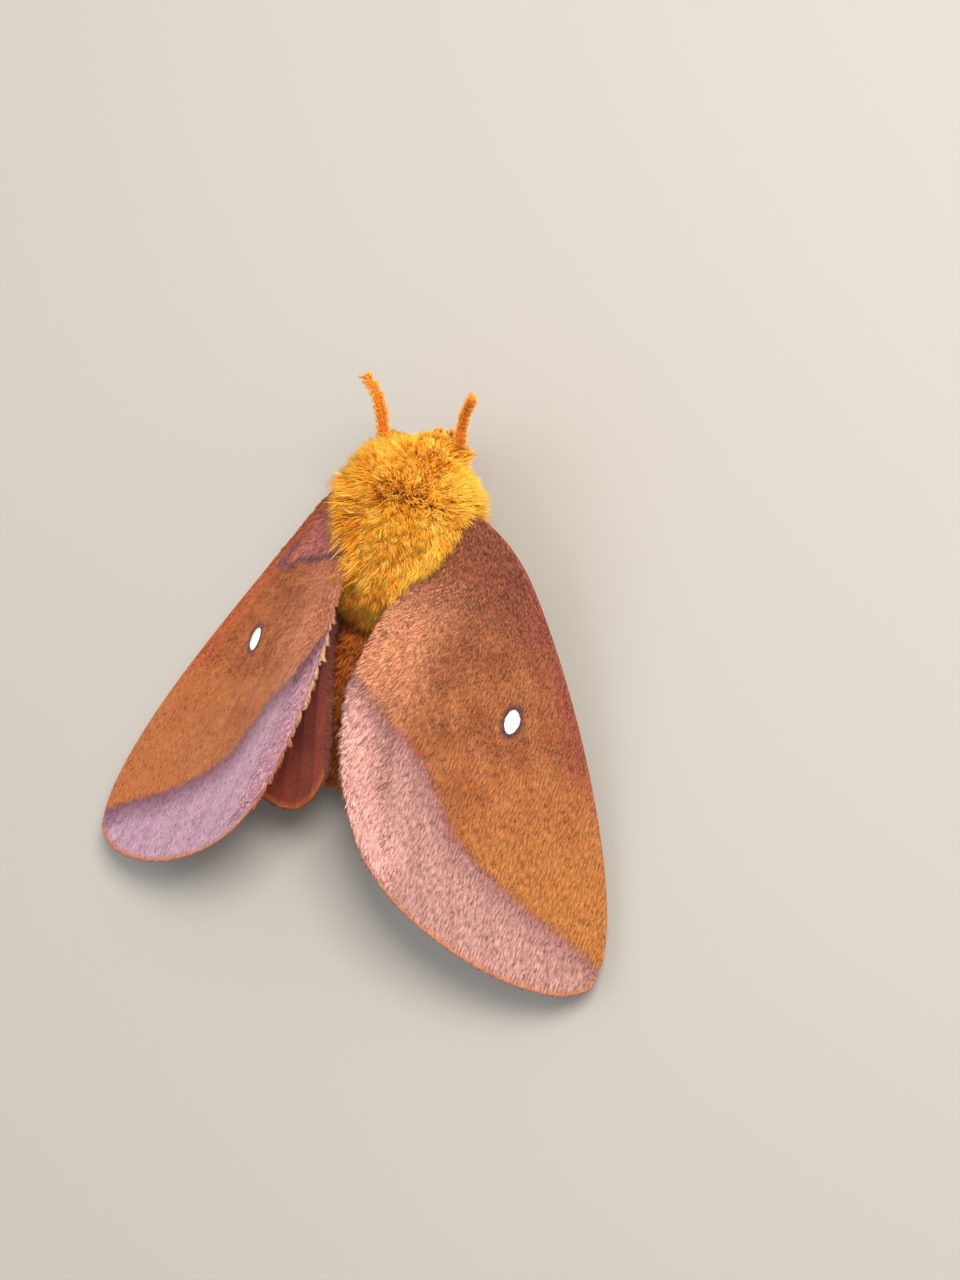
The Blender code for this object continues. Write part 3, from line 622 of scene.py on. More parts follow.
# The markings' places in the flat wing, in millimetres along it and across it
OUTER_LINE = (
    (29.4, -2.2), (27.9, -0.3), (26.1, 1.2), (24.1, 3.3), (22.3, 4.8), (20.6, 6.1), (18.6, 7.3),
    (16.7, 7.7), (14.6, 8.1), (12.9, 9.0), (11.2, 9.9), (9.7, 10.7), (8.3, 11.3), (6.4, 12.2),
)
INNER_LINE = (
    (8.2, -2.4), (7.6, 0.0), (7.0, 1.4), (6.2, 2.0), (5.9, 2.9), (5.3, 4.1), (4.5, 5.7),
    (3.6, 7.5), (3.0, 9.0),
)
SPOT = np.array((12.2, 2.5))
SPOT_SIZE = np.array((0.76, 0.42))
SPOT_TURN = math.radians(27.0)


def edge_marks(outline, flat):
    """Each place in the flat wing, and how far the wing's three edges are from it."""
    marks = {"flat": np.concatenate([flat, np.zeros_like(flat[..., :1])], -1)}
    for key, edge in zip(("front", "inner", "rim"), outline):
        marks[key] = np.abs(line_distance(flat, bezier(edge, np.linspace(0, 1, EDGE_POINTS))))
    return marks


def fore_marks(p, q):
    """What the wing's scales know of their place: each marking's distance, in millimetres."""
    flat = outline_patch(FORE_OUTLINE, p, q)
    x, y = np.moveaxis(flat - SPOT, -1, 0)
    turned_spot = np.stack([
        x * math.cos(SPOT_TURN) + y * math.sin(SPOT_TURN),
        y * math.cos(SPOT_TURN) - x * math.sin(SPOT_TURN),
    ], -1)
    return {
        **edge_marks(FORE_OUTLINE, flat),
        "beyond": line_distance(flat, OUTER_LINE),
        "before": line_distance(flat, INNER_LINE),
        "spot": np.linalg.norm(turned_spot / SPOT_SIZE, axis=-1),
        "vein": vein_profile(FORE_VEINS, p, q, 13.0),
    }


def hind_marks(name, p, q):
    """The same for the hindwing, which has veins but no lines and no spot."""
    flat = outline_patch(HIND_OUTLINE[name], p, q)
    return {
        **edge_marks(HIND_OUTLINE[name], flat),
        "vein": vein_profile(HIND_VEINS, p, q, 10.0),
    }


def set_attribute(data, name, values):
    """Gives each point of a mesh a number or a place that its material reads."""
    vector = values.ndim > 1
    layer = data.attributes.new(name, "FLOAT_VECTOR" if vector else "FLOAT", "POINT")
    layer.data.foreach_set("vector" if vector else "value", values.astype(np.float32).ravel())


def membrane(name, points, normals, marks, material):
    """A thin closed sheet under a grid of points, whose edges are drawn to a fine rim."""
    rows, columns = points.shape[:2]
    border = np.zeros((rows, columns), bool)
    border[[0, -1]] = True
    border[:, [0, -1]] = True
    below = points - normals * np.where(border, 0.35, 1.0)[..., None] * MEMBRANE
    count = rows * columns
    index = np.arange(count).reshape(rows, columns)
    quads = np.stack([index[:-1, :-1], index[1:, :-1], index[1:, 1:], index[:-1, 1:]], -1)
    quads = quads.reshape(-1, 4)
    ring = np.concatenate([index[0], index[1:, -1], index[-1, -2::-1], index[-2:0:-1, 0]])
    after = np.roll(ring, -1)
    sides = np.stack([ring, after, after + count, ring + count], -1)
    step = points[1, 1] - points[0, 1]
    over = points[1, 2] - points[1, 1]
    if np.dot(np.cross(step, over), normals[1, 1]) < 0:
        quads, sides = quads[:, ::-1], sides[:, ::-1]
    faces = np.vstack([quads, quads[:, ::-1] + count, sides[:, ::-1]])
    both = np.vstack([points.reshape(-1, 3), below.reshape(-1, 3)])
    obj = new_object(name, both, faces.tolist(), material)
    marks = {**marks, "tint": np.zeros((rows, columns))}
    for key, values in marks.items():
        flat = values.reshape(count, -1) if values.ndim > 2 else values.reshape(-1)
        set_attribute(obj.data, key, np.concatenate([flat, flat]))
    return obj


# Scales: tiles of dry chitin 0.1 mm long that overlap like roof slates and give the wings all their
# colour. They are laid by the marks above, in layers, as each kind of scale grows in its own place.

TINT_SHARE = 0.3
# The two forewings bear one pattern, but their colours differ partly as painted light: several of the left
# wing's, its base most, are lighter to make up for its turning away from the light, and the lighter
# colours near each inner margin are painted highlights
FORE_COLOURS = {
    "left": {
        "ground": ("#8C451B", "#A05A28"), "front": "#A44C22", "base": "#BC706C",
        "outer": "#A98699", "painted_highlight": "#C495A3", "line": "#613B4E", "tip": "#A15D2E",
        "light": "#C8805E", "base_edge": (0.6, -0.9), "light_reach": (8.0, 1.0),
        "inner_line": 0.75, "outer_line": 0.8, "grain": (0.62, 1.36), "bump": 0.5, "turn": 0.3,
    },
    "right": {
        "ground": ("#82441E", "#955830"), "front": "#7E382A", "base": "#823A22",
        "outer": "#A67A72", "painted_highlight": "#E4ACA4", "line": "#704044", "tip": "#9E622B",
        "light": "#DE9A70", "base_edge": (3.0, -3.5), "light_reach": (5.5, 0.5),
        "inner_line": 0.15, "outer_line": 0.5, "grain": (0.42, 1.6), "bump": 0.8, "turn": 0.5,
    },
}
DOT, RIM, SPOT_RING, SPOT_WHITE = "#5A2F2A", "#A9632F", "#3F2228", "#F4EFE9"


def wing_patterns(tree, patterns):
    """Noise in the flat wing's millimetres. Each is drawn out by a stretch and turned, with a scale."""
    flat = add_node(tree, "ShaderNodeAttribute", {"attribute_name": "flat"}).outputs["Vector"]
    sources = {"flat": flat}
    for name, (stretch, scale, turn) in patterns.items():
        mapping = add_node(tree, "ShaderNodeMapping", {
            "vector_type": "TEXTURE", "Scale": (1 / stretch, 1.0, 1.0), "Rotation": (0.0, 0.0, turn),
        }, Vector=flat)
        sources[name] = add_node(
            tree, "ShaderNodeTexNoise", {"Scale": scale, "Detail": 3.0}, Vector=mapping.outputs["Vector"],
        ).outputs["Fac"]
    return sources


def laid_over(tree, sources, layers):
    """Colours laid over the first one in turn, each by its share.

    A layer is a colour, its strength and lists of ramps. A ramp is a source, then where it counts
    as 0 and where as 1, or the source alone. The ramps of a list are multiplied, and the greatest
    list counts. A colour is a hex one, a socket, or layers of its own. A source that isn't among
    the sources is a number that the mesh's points carry.
    """
    under = layers[0]
    for paint, strength, *lists in layers[1:]:
        share = None
        for ramps in lists:
            product = None
            for source, *ends in ramps:
                if source not in sources:
                    carried = add_node(tree, "ShaderNodeAttribute", {"attribute_name": source})
                    sources[source] = carried.outputs["Fac"]
                value = sources[source]
                if ends:
                    value = add_node(tree, "ShaderNodeMapRange", {
                        "interpolation_type": "SMOOTHSTEP",
                        "From Min": min(ends), "From Max": max(ends),
                        "To Min": float(ends[0] > ends[1]), "To Max": float(ends[0] < ends[1]),
                    }, Value=value).outputs["Result"]
                if product is not None:
                    value = add_node(
                        tree, "ShaderNodeMath", {"operation": "MULTIPLY"}, i0=product, i1=value,
                    ).outputs["Value"]
                product = value
            if share is not None:
                product = add_node(
                    tree, "ShaderNodeMath", {"operation": "MAXIMUM"}, i0=share, i1=product,
                ).outputs["Value"]
            share = product
        share = add_node(tree, "ShaderNodeMath", {"operation": "MULTIPLY", 1: strength}, i0=share)
        mix = add_node(tree, "ShaderNodeMix", {"data_type": "RGBA"}, i0=share.outputs["Value"])
        for key, colour in ((6, under), (7, paint)):
            if isinstance(colour, list):
                colour = laid_over(tree, sources, colour)
            if isinstance(colour, str):
                mix.inputs[key].default_value = linear(colour)
            else:
                tree.links.new(colour, mix.inputs[key])
        under = mix.outputs[2]
    return under


def finish_scales(tree, shader, colour, sources, depth, height):
    """Lays the grain and each scale's own tint over the colour, and raises the grain a little."""
    grain = sources["grain"]
    tint = add_node(tree, "ShaderNodeAttribute", {"attribute_name": "tint"})
    mixed = add_node(
        tree, "ShaderNodeMath", {"operation": "MULTIPLY_ADD", 1: TINT_SHARE},
        i0=tint.outputs["Fac"], i2=grain,
    )
    light = add_node(tree, "ShaderNodeMapRange", {
        "From Min": 0.3, "From Max": 0.7, "To Min": depth[0], "To Max": depth[1],
    }, Value=mixed.outputs["Value"])
    shaded = add_node(
        tree, "ShaderNodeVectorMath", {"operation": "SCALE"}, i0=colour, Scale=light.outputs["Result"],
    )
    tree.links.new(shaded.outputs["Vector"], shader.inputs["Base Color"])
    bump = add_node(tree, "ShaderNodeBump", {"Strength": height, "Distance": 0.06 * MM}, Height=grain)
    tree.links.new(bump.outputs["Normal"], shader.inputs["Normal"])


# Forewing scales: powdery chitin, matt with a soft warm glow at a grazing angle, like velvet. The
# grain is 0.1 mm across and 0.5 mm along, which is longer than one real scale, so that it shows.
fore_scales = {}
for name, colours in FORE_COLOURS.items():
    material, tree, shader = new_material(f"powdery_forewing_scales_{name}", {
        "Roughness": 0.78, "Specular IOR Level": 0.25, "Sheen Weight": 0.3, "Sheen Roughness": 0.5,
        "Sheen Tint": linear("#FFD9C4"),
    })
    sources = wing_patterns(tree, {
        "grain": (0.24, 9.0, colours["turn"]), "cloud": (0.6, 0.55, 0.0), "wobble": (0.8, 2.2, 0.0),
    })
    sources["along"] = add_node(tree, "ShaderNodeSeparateXYZ", Vector=sources["flat"]).outputs["X"]
    wobble = add_node(
        tree, "ShaderNodeMath", {"operation": "MULTIPLY_ADD", 1: 0.9, 2: -0.45}, i0=sources["wobble"],
    )
    for key, amount in (("beyond", 1.0), ("before", 1.0), ("spot", 0.5)):
        mark = add_node(tree, "ShaderNodeAttribute", {"attribute_name": key})
        sources[key] = add_node(
            tree, "ShaderNodeMath", {"operation": "MULTIPLY_ADD", 1: amount},
            i0=wobble.outputs["Value"], i2=mark.outputs["Fac"],
        ).outputs["Value"]
    # Rare dark dots, 0.1 to 0.2 mm across: the middles of a few of the pattern's cells
    cells = add_node(tree, "ShaderNodeTexVoronoi", {"Scale": 0.42}, Vector=sources["flat"])
    sources["dot"] = cells.outputs["Distance"]
    sources["rarity"] = add_node(
        tree, "ShaderNodeSeparateColor", Color=cells.outputs["Color"],
    ).outputs[0]
    # The outer field, with a painted highlight towards the inner margin, where the folded wing turns to
    # the light
    outer_field = [colours["outer"], (colours["painted_highlight"], 1.0, [("inner", 3.2, 0.6)])]
    ground = laid_over(tree, sources, [
        colours["ground"][0],
        (colours["ground"][1], 1.0, [("cloud", 0.35, 0.65)]),
        # Painted highlight: lighter towards the inner margin near the base, where the wing's arch faces
        # the light
        (colours["light"], 0.8, [("inner", *colours["light_reach"]), ("along", 16.0, 9.0)]),
        (colours["tip"], 0.85, [("along", 13.0, 24.0)]),
        (colours["base"], 0.85, [("before", *colours["base_edge"]), ("front", 0.3, 1.5)]),
        (colours["front"], 0.8, [("front", 2.6, 0.1), ("along", 21.0, 12.0)]),
        (outer_field, 1.0, [("beyond", -0.15, 0.5)]),
        (colours["line"], colours["outer_line"], [("beyond", -0.35, 0.1), ("beyond", 2.0, 0.1)]),
        (
            colours["line"], colours["inner_line"],
            [("before", -0.6, -0.05), ("before", 0.35, 0.05), ("front", 0.9, 1.6)],
            [("before", -2.2, -1.2), ("before", 0.3, 0.0), ("front", 0.5, 0.95), ("front", 1.7, 1.15)],
        ),
        (colours["line"], 0.22, [("vein",), ("beyond", -1.0, 1.5)]),
        (DOT, 0.8, [("dot", 0.07, 0.035), ("rarity", 0.72, 0.76)]),
        (RIM, 0.6, [("rim", 0.4, 0.1)]),
        (SPOT_RING, 0.9, [("spot", 2.0, 1.2)]),
        (SPOT_WHITE, 1.0, [("spot", 1.08, 0.96)]),
    ])
    finish_scales(tree, shader, ground, sources, colours["grain"], colours["bump"])
    fore_scales[name] = material

# Hindwing scales: the same powdery chitin, finer and plainer, a dull brick red with little glow, darkened
# in part as painted shade, for the hindwing lies in the forewings' shadow
hind_scales, tree, shader = new_material("powdery_hindwing_scales", {
    "Roughness": 0.8, "Specular IOR Level": 0.25, "Sheen Weight": 0.06, "Sheen Roughness": 0.5,
})
sources = wing_patterns(tree, {"grain": (1.0, 6.0, 0.0), "cloud": (1.0, 0.5, 0.0)})
ground = laid_over(tree, sources, [
    "#7A3224",
    ("#8C4030", 1.0, [("cloud", 0.35, 0.65)]),
    ("#824238", 0.5, [("inner", 3.0, 0.3)]),
    ("#6E3438", 0.15, [("vein",)]),
    ("#B8672E", 0.6, [("rim", 0.55, 0.1)]),
])
finish_scales(tree, shader, ground, sources, (0.75, 1.25), 0.5)

# Membranes under the scales: each grid of points is the wing's upper face, raised along its veins
FORE_GRID = (140, 90)
HIND_GRID = (90, 64)
for name in FORE_POSE:
    p, q = even_grid(*FORE_GRID)
    marks = fore_marks(p, q)
    points = forewing_points(name, p, q)
    normals = surface_normals(points)
    points = points + normals * (marks["vein"] * VEIN_RISE * ease(p / 0.12) * (1 - 0.5 * p))[..., None]
    wing = membrane(f"forewing_membrane_{name}", points, normals, marks, fore_scales[name])
    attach(wing, "root")
    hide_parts(f"forewing_{name}")
    p, q = even_grid(*HIND_GRID)
    marks = hind_marks(name, p, q)
    points = hindwing_points(name, p, q)
    normals = surface_normals(points)
    points = points + normals * (marks["vein"] * VEIN_RISE * ease(p / 0.12))[..., None]
    wing = membrane(f"hindwing_membrane_{name}", points, normals, marks, hind_scales)
    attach(wing, "root")
    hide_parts(f"hindwing_{name}")

# Thorax coat: thick silky hair, which is long thin scales of chitin rooted in the cuticle. Each is a
# three-sided blade that leaves the skin, bends over along the coat's lie and leans into its clump.

OFBAKE_PATCH = 0.003
BLADE_STATIONS = (0.0, 0.4, 0.75)
BLADE_TAPER = (0.85, 1.0, 0.7)
NEAREST_BLOCK = 2000
rng = np.random.default_rng(7)


def along_skin(lies, normals):
    """The lies laid flat on the skin."""
    return unit(lies - normals * (lies * normals).sum(-1, keepdims=True))


def hair_lines(roots, normals, lies, lengths, leans, bends, stations):
    """The middle line of every hair, as an array of hairs by stations and tip by place."""
    lies = along_skin(lies, normals)
    marks = np.array((*stations, 1.0))
    lines = [roots]
    for low, high in zip(marks[:-1], marks[1:]):
        angle = leans + (bends - leans) * (low + high) / 2
        heading = normals * np.cos(angle)[:, None] + lies * np.sin(angle)[:, None]
        lines.append(lines[-1] + heading * (lengths * (high - low))[:, None])
    return np.stack(lines, 1)


def clumped(lines, clumps, pull):
    """Draws each hair's end towards that of the clump's own hair that is nearest to it."""
    seeds = lines[:clumps]
    nearest = np.zeros(len(lines), int)
    for start in range(0, len(lines), NEAREST_BLOCK):
        some = slice(start, start + NEAREST_BLOCK)
        nearest[some] = ((lines[some, None, 0] - seeds[None, :, 0]) ** 2).sum(-1).argmin(1)
    share = np.linspace(0, 1, lines.shape[1]) ** 1.4
    target = seeds[nearest]
    pull = np.broadcast_to(pull, len(lines))[:, None, None]
    return lines + (target - lines) * pull * share[None, :, None], nearest


def blades(name, lines, normals, widths, maps, values, material, taper=BLADE_TAPER):
    """One piece of closed three-sided blades along the lines, with its OFBake map.

    The maps give each blade its own small patch, and the values are numbers for its material.
    """
    hairs, stations = lines.shape[0], lines.shape[1] - 1
    along = unit(np.diff(lines, axis=1))
    across = unit(np.cross(along, normals[:, None] + 0.01))
    over = np.cross(across, along)
    half = (widths[:, None] * np.array(taper) / 2)[..., None]
    rings = [
        lines[:, :-1] - across * half,
        lines[:, :-1] + across * half,
        lines[:, :-1] + over * half * 0.9,
    ]
    rings = np.stack(rings, 2).reshape(hairs, stations * 3, 3)
    points = np.concatenate([rings, lines[:, -1:]], 1)
    size = stations * 3 + 1
    faces = [(0, 1, 2)]
    for k in range(stations - 1):
        for i in range(3):
            j = (i + 1) % 3
            a, b, c, d = 3 * k + i, 3 * k + j, 3 * k + 3 + j, 3 * k + 3 + i
            faces += [(a, c, b), (a, d, c)]
    last = 3 * (stations - 1)
    faces += [(last, size - 1, last + 1), (last + 1, size - 1, last + 2), (last + 2, size - 1, last)]
    faces = np.array(faces)
    corners = (faces[None] + np.arange(hairs)[:, None, None] * size).reshape(-1)
    data = bpy.data.meshes.new(name)
    data.vertices.add(hairs * size)
    data.vertices.foreach_set("co", placed(points.reshape(-1, 3)).astype(np.float32).ravel())
    data.loops.add(len(corners))
    data.loops.foreach_set("vertex_index", corners.astype(np.int32))
    data.polygons.add(len(corners) // 3)
    data.polygons.foreach_set("loop_start", np.arange(0, len(corners), 3, dtype=np.int32))
    data.update(calc_edges=True)
    data.validate()
    data.shade_smooth()
    side = np.array((*([-0.5, 0.5, 0.0] * stations), 0.0))
    reach = np.array((*np.repeat(np.arange(stations) / stations, 3), 1.0))
    patch = np.stack([side, reach - 0.5], -1) * OFBAKE_PATCH
    uv = (maps[:, None] * (1 - 2 * OFBAKE_PATCH) + OFBAKE_PATCH + patch[None]).reshape(-1, 2)
    layer = data.uv_layers.new(name="OFBake")
    layer.data.foreach_set("uv", uv[corners].astype(np.float32).ravel())
    set_attribute(data, "reach", np.tile(reach, hairs))
    for key, value in values.items():
        set_attribute(data, key, np.repeat(value, size, axis=0))
    coat = shown(name, data, material)
    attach(coat, "root")


def hair_material(name, root, middle, tip, pale, low):
    """Silky hair: dark at the root and bright at the tip, each hair a little different, with painted
    shade.
    """
    material, tree, shader = new_material(name, {
        "Roughness": 0.55, "Specular IOR Level": 0.35, "Sheen Weight": 0.15,
        "Sheen Roughness": 0.4, "Sheen Tint": linear("#FFE2B0"),
    })
    reach = add_node(tree, "ShaderNodeAttribute", {"attribute_name": "reach"})
    ramp = add_node(tree, "ShaderNodeValToRGB", i0=reach.outputs["Fac"])
    ramp.color_ramp.elements[0].color = linear(root)
    ramp.color_ramp.elements[1].color = linear(tip)
    ramp.color_ramp.elements.new(0.55).color = linear(middle)
    colour = laid_over(tree, {}, [
        ramp.outputs["Color"],
        # Pale by each hair's tint, which on the thorax also carries painted light
        (pale, 0.8, [("tint", 0.5, 0.92)]),
        (root, 0.75, [("tint", 0.52, 0.12)]),
        # Painted shade: the low colour, laid on where the hairs lie in shade
        (low, 0.75, [("low",)]),
    ])
    tree.links.new(colour, shader.inputs["Base Color"])
    return material


def swirl(points, angle):
    """A slow wander of the lie over the coat, as a turn in radians."""
    x, y, z = points.T
    wave = np.sin(1.3 * x + 0.8 * y) + 0.7 * np.sin(1.9 * y - 1.1 * z + 1.0)
    return angle * (wave + 0.6 * np.sin(2.6 * x - 1.4 * y + 2.0))


def turned(vectors, axes, angles):
    """Vectors turned about unit axes that are square to them."""
    return vectors * np.cos(angles)[:, None] + np.cross(axes, vectors) * np.sin(angles)[:, None]


def ball_roots(count, radii):
    """Directions spread evenly over an ellipsoid's area."""
    directions = unit(rng.normal(size=(count * 3, 3)))
    weight = np.linalg.norm(directions / radii, axis=-1)
    keep = rng.random(len(directions)) < weight / weight.max()
    return directions[keep][:count]


# Hairs lifted by more than this, in millimetres, stay under the wing; the rest lie this far over it
HIGHEST_LIFT = {"left": 1.3, "right": 2.4}
OVER_WING = (0.08, 0.8)


def off_wings(lines):
    """Lays hairs that grow inside a forewing's inner edge over it, and the rest under it."""
    share = np.linspace(0, 1, lines.shape[1])
    for name, roof in roofs.items():
        side = FORE_POSE[name]["side"]
        for i in np.nonzero(lines[:, -1, 0] * side > 0.6)[0]:
            loft = OVER_WING[0] + (OVER_WING[1] - OVER_WING[0]) * rng.random() ** 1.5
            lift = 0.0
            covered = []
            for k in range(lines.shape[1]):
                distance, height, normal = roof_over(roof, lines[i, k, 0], lines[i, k, 1])
                if distance > 0.02:
                    continue
                steep = max(normal.z, 0.4)
                covered.append((k, height - 0.25 / steep))
                if k:
                    wanted = height + loft * (1.2 - 0.7 * share[k]) / steep - lines[i, k, 2]
                    lift = max(lift, wanted / share[k] ** 0.5)
            rooted_under = covered and covered[0][0] == 0 and lines[i, 0, 2] < covered[0][1]
            if rooted_under or lift > HIGHEST_LIFT[name]:
                for k, ceiling in covered:
                    lines[i, k, 2] = min(lines[i, k, 2], ceiling)
            else:
                lines[i, :, 2] += lift * share ** 0.5
    return lines


# Where the coat ends over the wings and the abdomen, in plan, from the left shoulder to the right
COAT_EDGE = np.array((
    (-5.2, 0.9), (-4.75, -0.1), (-4.2, -1.2), (-3.7, -2.3), (-3.1, -3.3), (-2.35, -4.35),
    (-1.7, -5.2), (-1.9, -7.2), (-0.6, -7.6), (0.7, -7.3), (1.25, -6.6), (1.4, -5.85), (1.65, -5.2),
    (2.0, -4.5), (2.4, -3.95), (2.8, -3.45), (3.25, -3.05), (3.75, -2.55), (3.9, -2.0), (4.2, -0.7),
    (4.5, 0.1), (4.8, 1.0), (5.15, 1.8), (6.5, 2.6),
)) - THORAX_CENTRE[:2]


def trimmed(lines, clump):
    """Shortens the hairs whose tips pass the coat's edge, each to its own end near it."""
    tips = lines[:, -1, :2] - THORAX_CENTRE[:2]
    clock = np.arctan2(tips[:, 0], -tips[:, 1])
    allowed = np.interp(clock, np.arctan2(COAT_EDGE[:, 0], -COAT_EDGE[:, 1]), np.hypot(*COAT_EDGE.T))
    allowed *= 1.17 - 0.22 * rng.random(clump.max() + 1)[clump] - 0.12 * rng.random(len(lines)) ** 2
    start = np.linalg.norm(lines[:, 0, :2] - THORAX_CENTRE[:2], axis=1)
    reach = np.linalg.norm(tips, axis=1)
    passed = (reach > allowed) & (clock > -1.8) & (clock < 2.2)
    share = np.where(passed, np.clip((allowed - start) / np.maximum(reach - start, 0.01), 0.2, 1), 1)
    return lines[:, :1] + (lines - lines[:, :1]) * share[:, None, None]


# Thorax hair: glossy silk, burnt orange at the root and yellow at the tip, which looks deep and
# soft; the root's darkness is partly painted shade deep in the coat, and the last colour is a deeper
# orange painted shade for hairs that lie in shade. It is drawn 0.05 to 0.08 mm thick, about twice as
# thick as life, so that each hair shows.
coat_hair = hair_material(
    "silky_orange_hair", "#A04602", "#FFA414", "#FFC02C", "#FFD85C", "#DA760C",
)
THORAX_HAIRS = 76000
THORAX_PIECES = 6
THORAX_CLUMPS = 3400
CROWN_START = 9.5
CROWN_TOP = 10.25

# Roots: thin below, where nothing shows, and none where the head and the abdomen join. x, y and z
# are each root's place on the skin's ellipsoid, from -1 to 1: to the right, forward and up.
directions = ball_roots(THORAX_HAIRS, THORAX_SKIN)
x, y, z = directions.T
wanted = (z > -0.8) & ~((y > 0.86) & (z < 0.1))
wanted &= ~((y < -0.8) & (z < 0.15))
crown = np.exp(-((y - 0.5) / 0.22) ** 2)
wanted &= rng.random(len(directions)) < np.where(z < -0.1, 0.4, 0.8 + 0.2 * crown)
directions = directions[wanted]
x, y, z = directions.T
count = len(directions)
roots = THORAX_CENTRE + directions * THORAX_SKIN
normals = unit(directions / THORAX_SKIN)

# Regions of the coat, each from 0 to 1
front = ease((y - 0.15) / 0.55)
rear = ease((-y - 0.05) / 0.7)
flank = np.abs(x)
over_wing = ease((flank - 0.35) / 0.4) * ease((0.35 - y) / 0.3) * (z > 0.3)
left = ease((-x - 0.1) / 0.35) * (z > 0.25) * ease((0.5 - y) / 0.4)
shoulder = ease((-x - 0.3) / 0.4) * ease(y / 0.3)
right = ease((x - 0.4) / 0.3) * ease((y + 0.2) / 0.3)
right *= ease((0.8 - y) / 0.3)

# Lies: back over most of the thorax and forward over its front, with a tousled parting between
outward = np.where(x < 0, 0.42, 0.7) * x * (1 - 0.65 * rear)
backward = np.stack([outward, -np.ones(count), -0.15 * flank], -1)
forward = np.stack([1.2 * x, np.full(count, 0.35), np.full(count, 0.5)], -1)
late = 0.22 * ease((-x - 0.15) / 0.45)
facing = ease((y - 0.24 - late) / 0.6)[:, None]
parting = np.abs(2 * facing[:, 0] - 1) ** 2.5
lies = along_skin(backward * (1 - facing) + forward * facing, normals)
stray = np.where(np.arange(count) < THORAX_CLUMPS, 0.38, 0.2)
stray = stray + 0.9 * (1 - parting)
lies = turned(lies, normals, swirl(roots, 0.38) * (1 - 0.7 * rear) + stray * rng.normal(0, 1, count))

# Lengths in millimetres, then the angle off the upright at the root and at the tip, in radians
lengths = 1.7 + 0.1 * (1 - front) + 1.1 * rear + 0.2 * flank + 0.5 * over_wing + 0.2 * left * (1 - rear)
lengths *= rng.uniform(0.7, 1.1, count)
lengths += 0.55 * shoulder + 0.5 * right
leans = (0.55 - 0.3 * front + 0.15 * left) * parting
leans = leans + rng.normal(0, 1, count) * (0.32 - 0.22 * parting)
leans *= 1 - 0.5 * shoulder
bends = (1.15 - 0.5 * front + 0.2 * rear + 0.2 * left) * (0.25 + 0.75 * parting)
bends = bends + rng.normal(0, 0.18, count)
bends *= 1 - 0.4 * shoulder
level = np.stack([0.3 * outward, -np.ones(count), np.full(count, 0.22)], -1)
level = np.arccos(np.clip((unit(level) * normals).sum(-1), -1, 1))
bends += rear * (np.minimum(level + rng.normal(0.05, 0.12, count), 1.4) - bends)
leans = np.minimum(leans, bends)

# The hairs themselves, clumped, trimmed, laid over the wings and flattened under the crown's top
lines = hair_lines(roots, normals, lies, lengths, leans, bends, BLADE_STATIONS)
lines, clump = clumped(lines, THORAX_CLUMPS, 0.62 - 0.2 * front)
lines = off_wings(trimmed(lines, clump))
over = np.maximum(lines[..., 2] - CROWN_START, 0)
lines[..., 2] -= over - (CROWN_TOP - CROWN_START) * np.tanh(over / (CROWN_TOP - CROWN_START))

# Tints: each clump and each hair has its own. Painted shade makes the hairs deeper orange low on the
# left and behind, and painted light makes them paler on the right and at the far rear
clump_tint = rng.random(THORAX_CLUMPS)
# Painted shade: where the coat lies in shade, low on the left side and at the rear
low = ease((0.75 - z) / 0.45) * ease((0.45 - y) / 0.4)
low *= ease((0.35 - x) / 0.5)
low = np.maximum(low, 0.5 * ease((-y - 0.45) / 0.35))
# Painted light: paler hair on the right rim and at the far rear, raised through the tint
painted_light = 0.25 * ease((x - 0.35) / 0.4) + 0.2 * ease((-y - 0.6) / 0.3)
tint = 0.62 * clump_tint[clump] + 0.38 * rng.random(count) + painted_light
maps = np.stack([
    np.arctan2(y, x) / (2 * math.pi) + 0.5,
    np.arccos(np.clip(z, -1, 1)) / math.pi,
], -1)
widths = rng.uniform(0.048, 0.08, count)
for i in range(THORAX_PIECES):
    part = slice(i, None, THORAX_PIECES)
    blades(
        f"thorax_coat_{i + 1}", lines[part], normals[part], widths[part], maps[part],
        {"tint": tint[part], "low": low[part]}, coat_hair,
    )

# Head coat: short upright plush of the same hair on brow and cheeks, longer over the feelers' bases.
# It is rooted in the cuticle all round the eyes, which it leaves clear, and on the two palps.

HEAD_HAIRS = 11000
HEAD_CLUMPS = 260
EYE_CLEARANCE = 0.86
PALP_HAIRS = 450
directions = ball_roots(HEAD_HAIRS, HEAD_SKIN)
turn = yaw_turn(HEAD_YAW)
roots = HEAD_CENTRE + (directions * HEAD_SKIN) @ turn
normals = unit(directions / HEAD_SKIN) @ turn
clear = directions[:, 1] > -0.6
for side in (-1, 1):
    centre = head_point(side * EYE_CENTRE[0], *EYE_CENTRE[1:])
    clear &= np.linalg.norm(roots - centre, axis=1) > EYE_CLEARANCE
directions, roots, normals = directions[clear], roots[clear], normals[clear]
crown = ease((directions[:, 2] + 0.15) / 0.7)
lies = np.stack([0.8 * directions[:, 0], np.full(len(roots), 0.3), 1.4 * crown - 0.8], -1)
lies = turned(along_skin(lies, normals), normals, rng.normal(0, 0.3, len(roots)))
brow = np.zeros(len(roots))
for side in (-1, 1):
    over_eye = head_point(side * EYE_CENTRE[0], EYE_CENTRE[1], EYE_CENTRE[2] + 1.3)
    brow = np.maximum(brow, ease((1.15 - np.linalg.norm(roots - over_eye, axis=1)) / 0.6))
    outer = np.array((side * 1.1, 0.5, 0.6))
    near = (ease(brow / 0.5) * ((roots[:, 0] - HEAD_CENTRE[0]) * side > 0))[:, None]
    lies = outer * near + lies * (1 - near)
lies = along_skin(lies, normals)
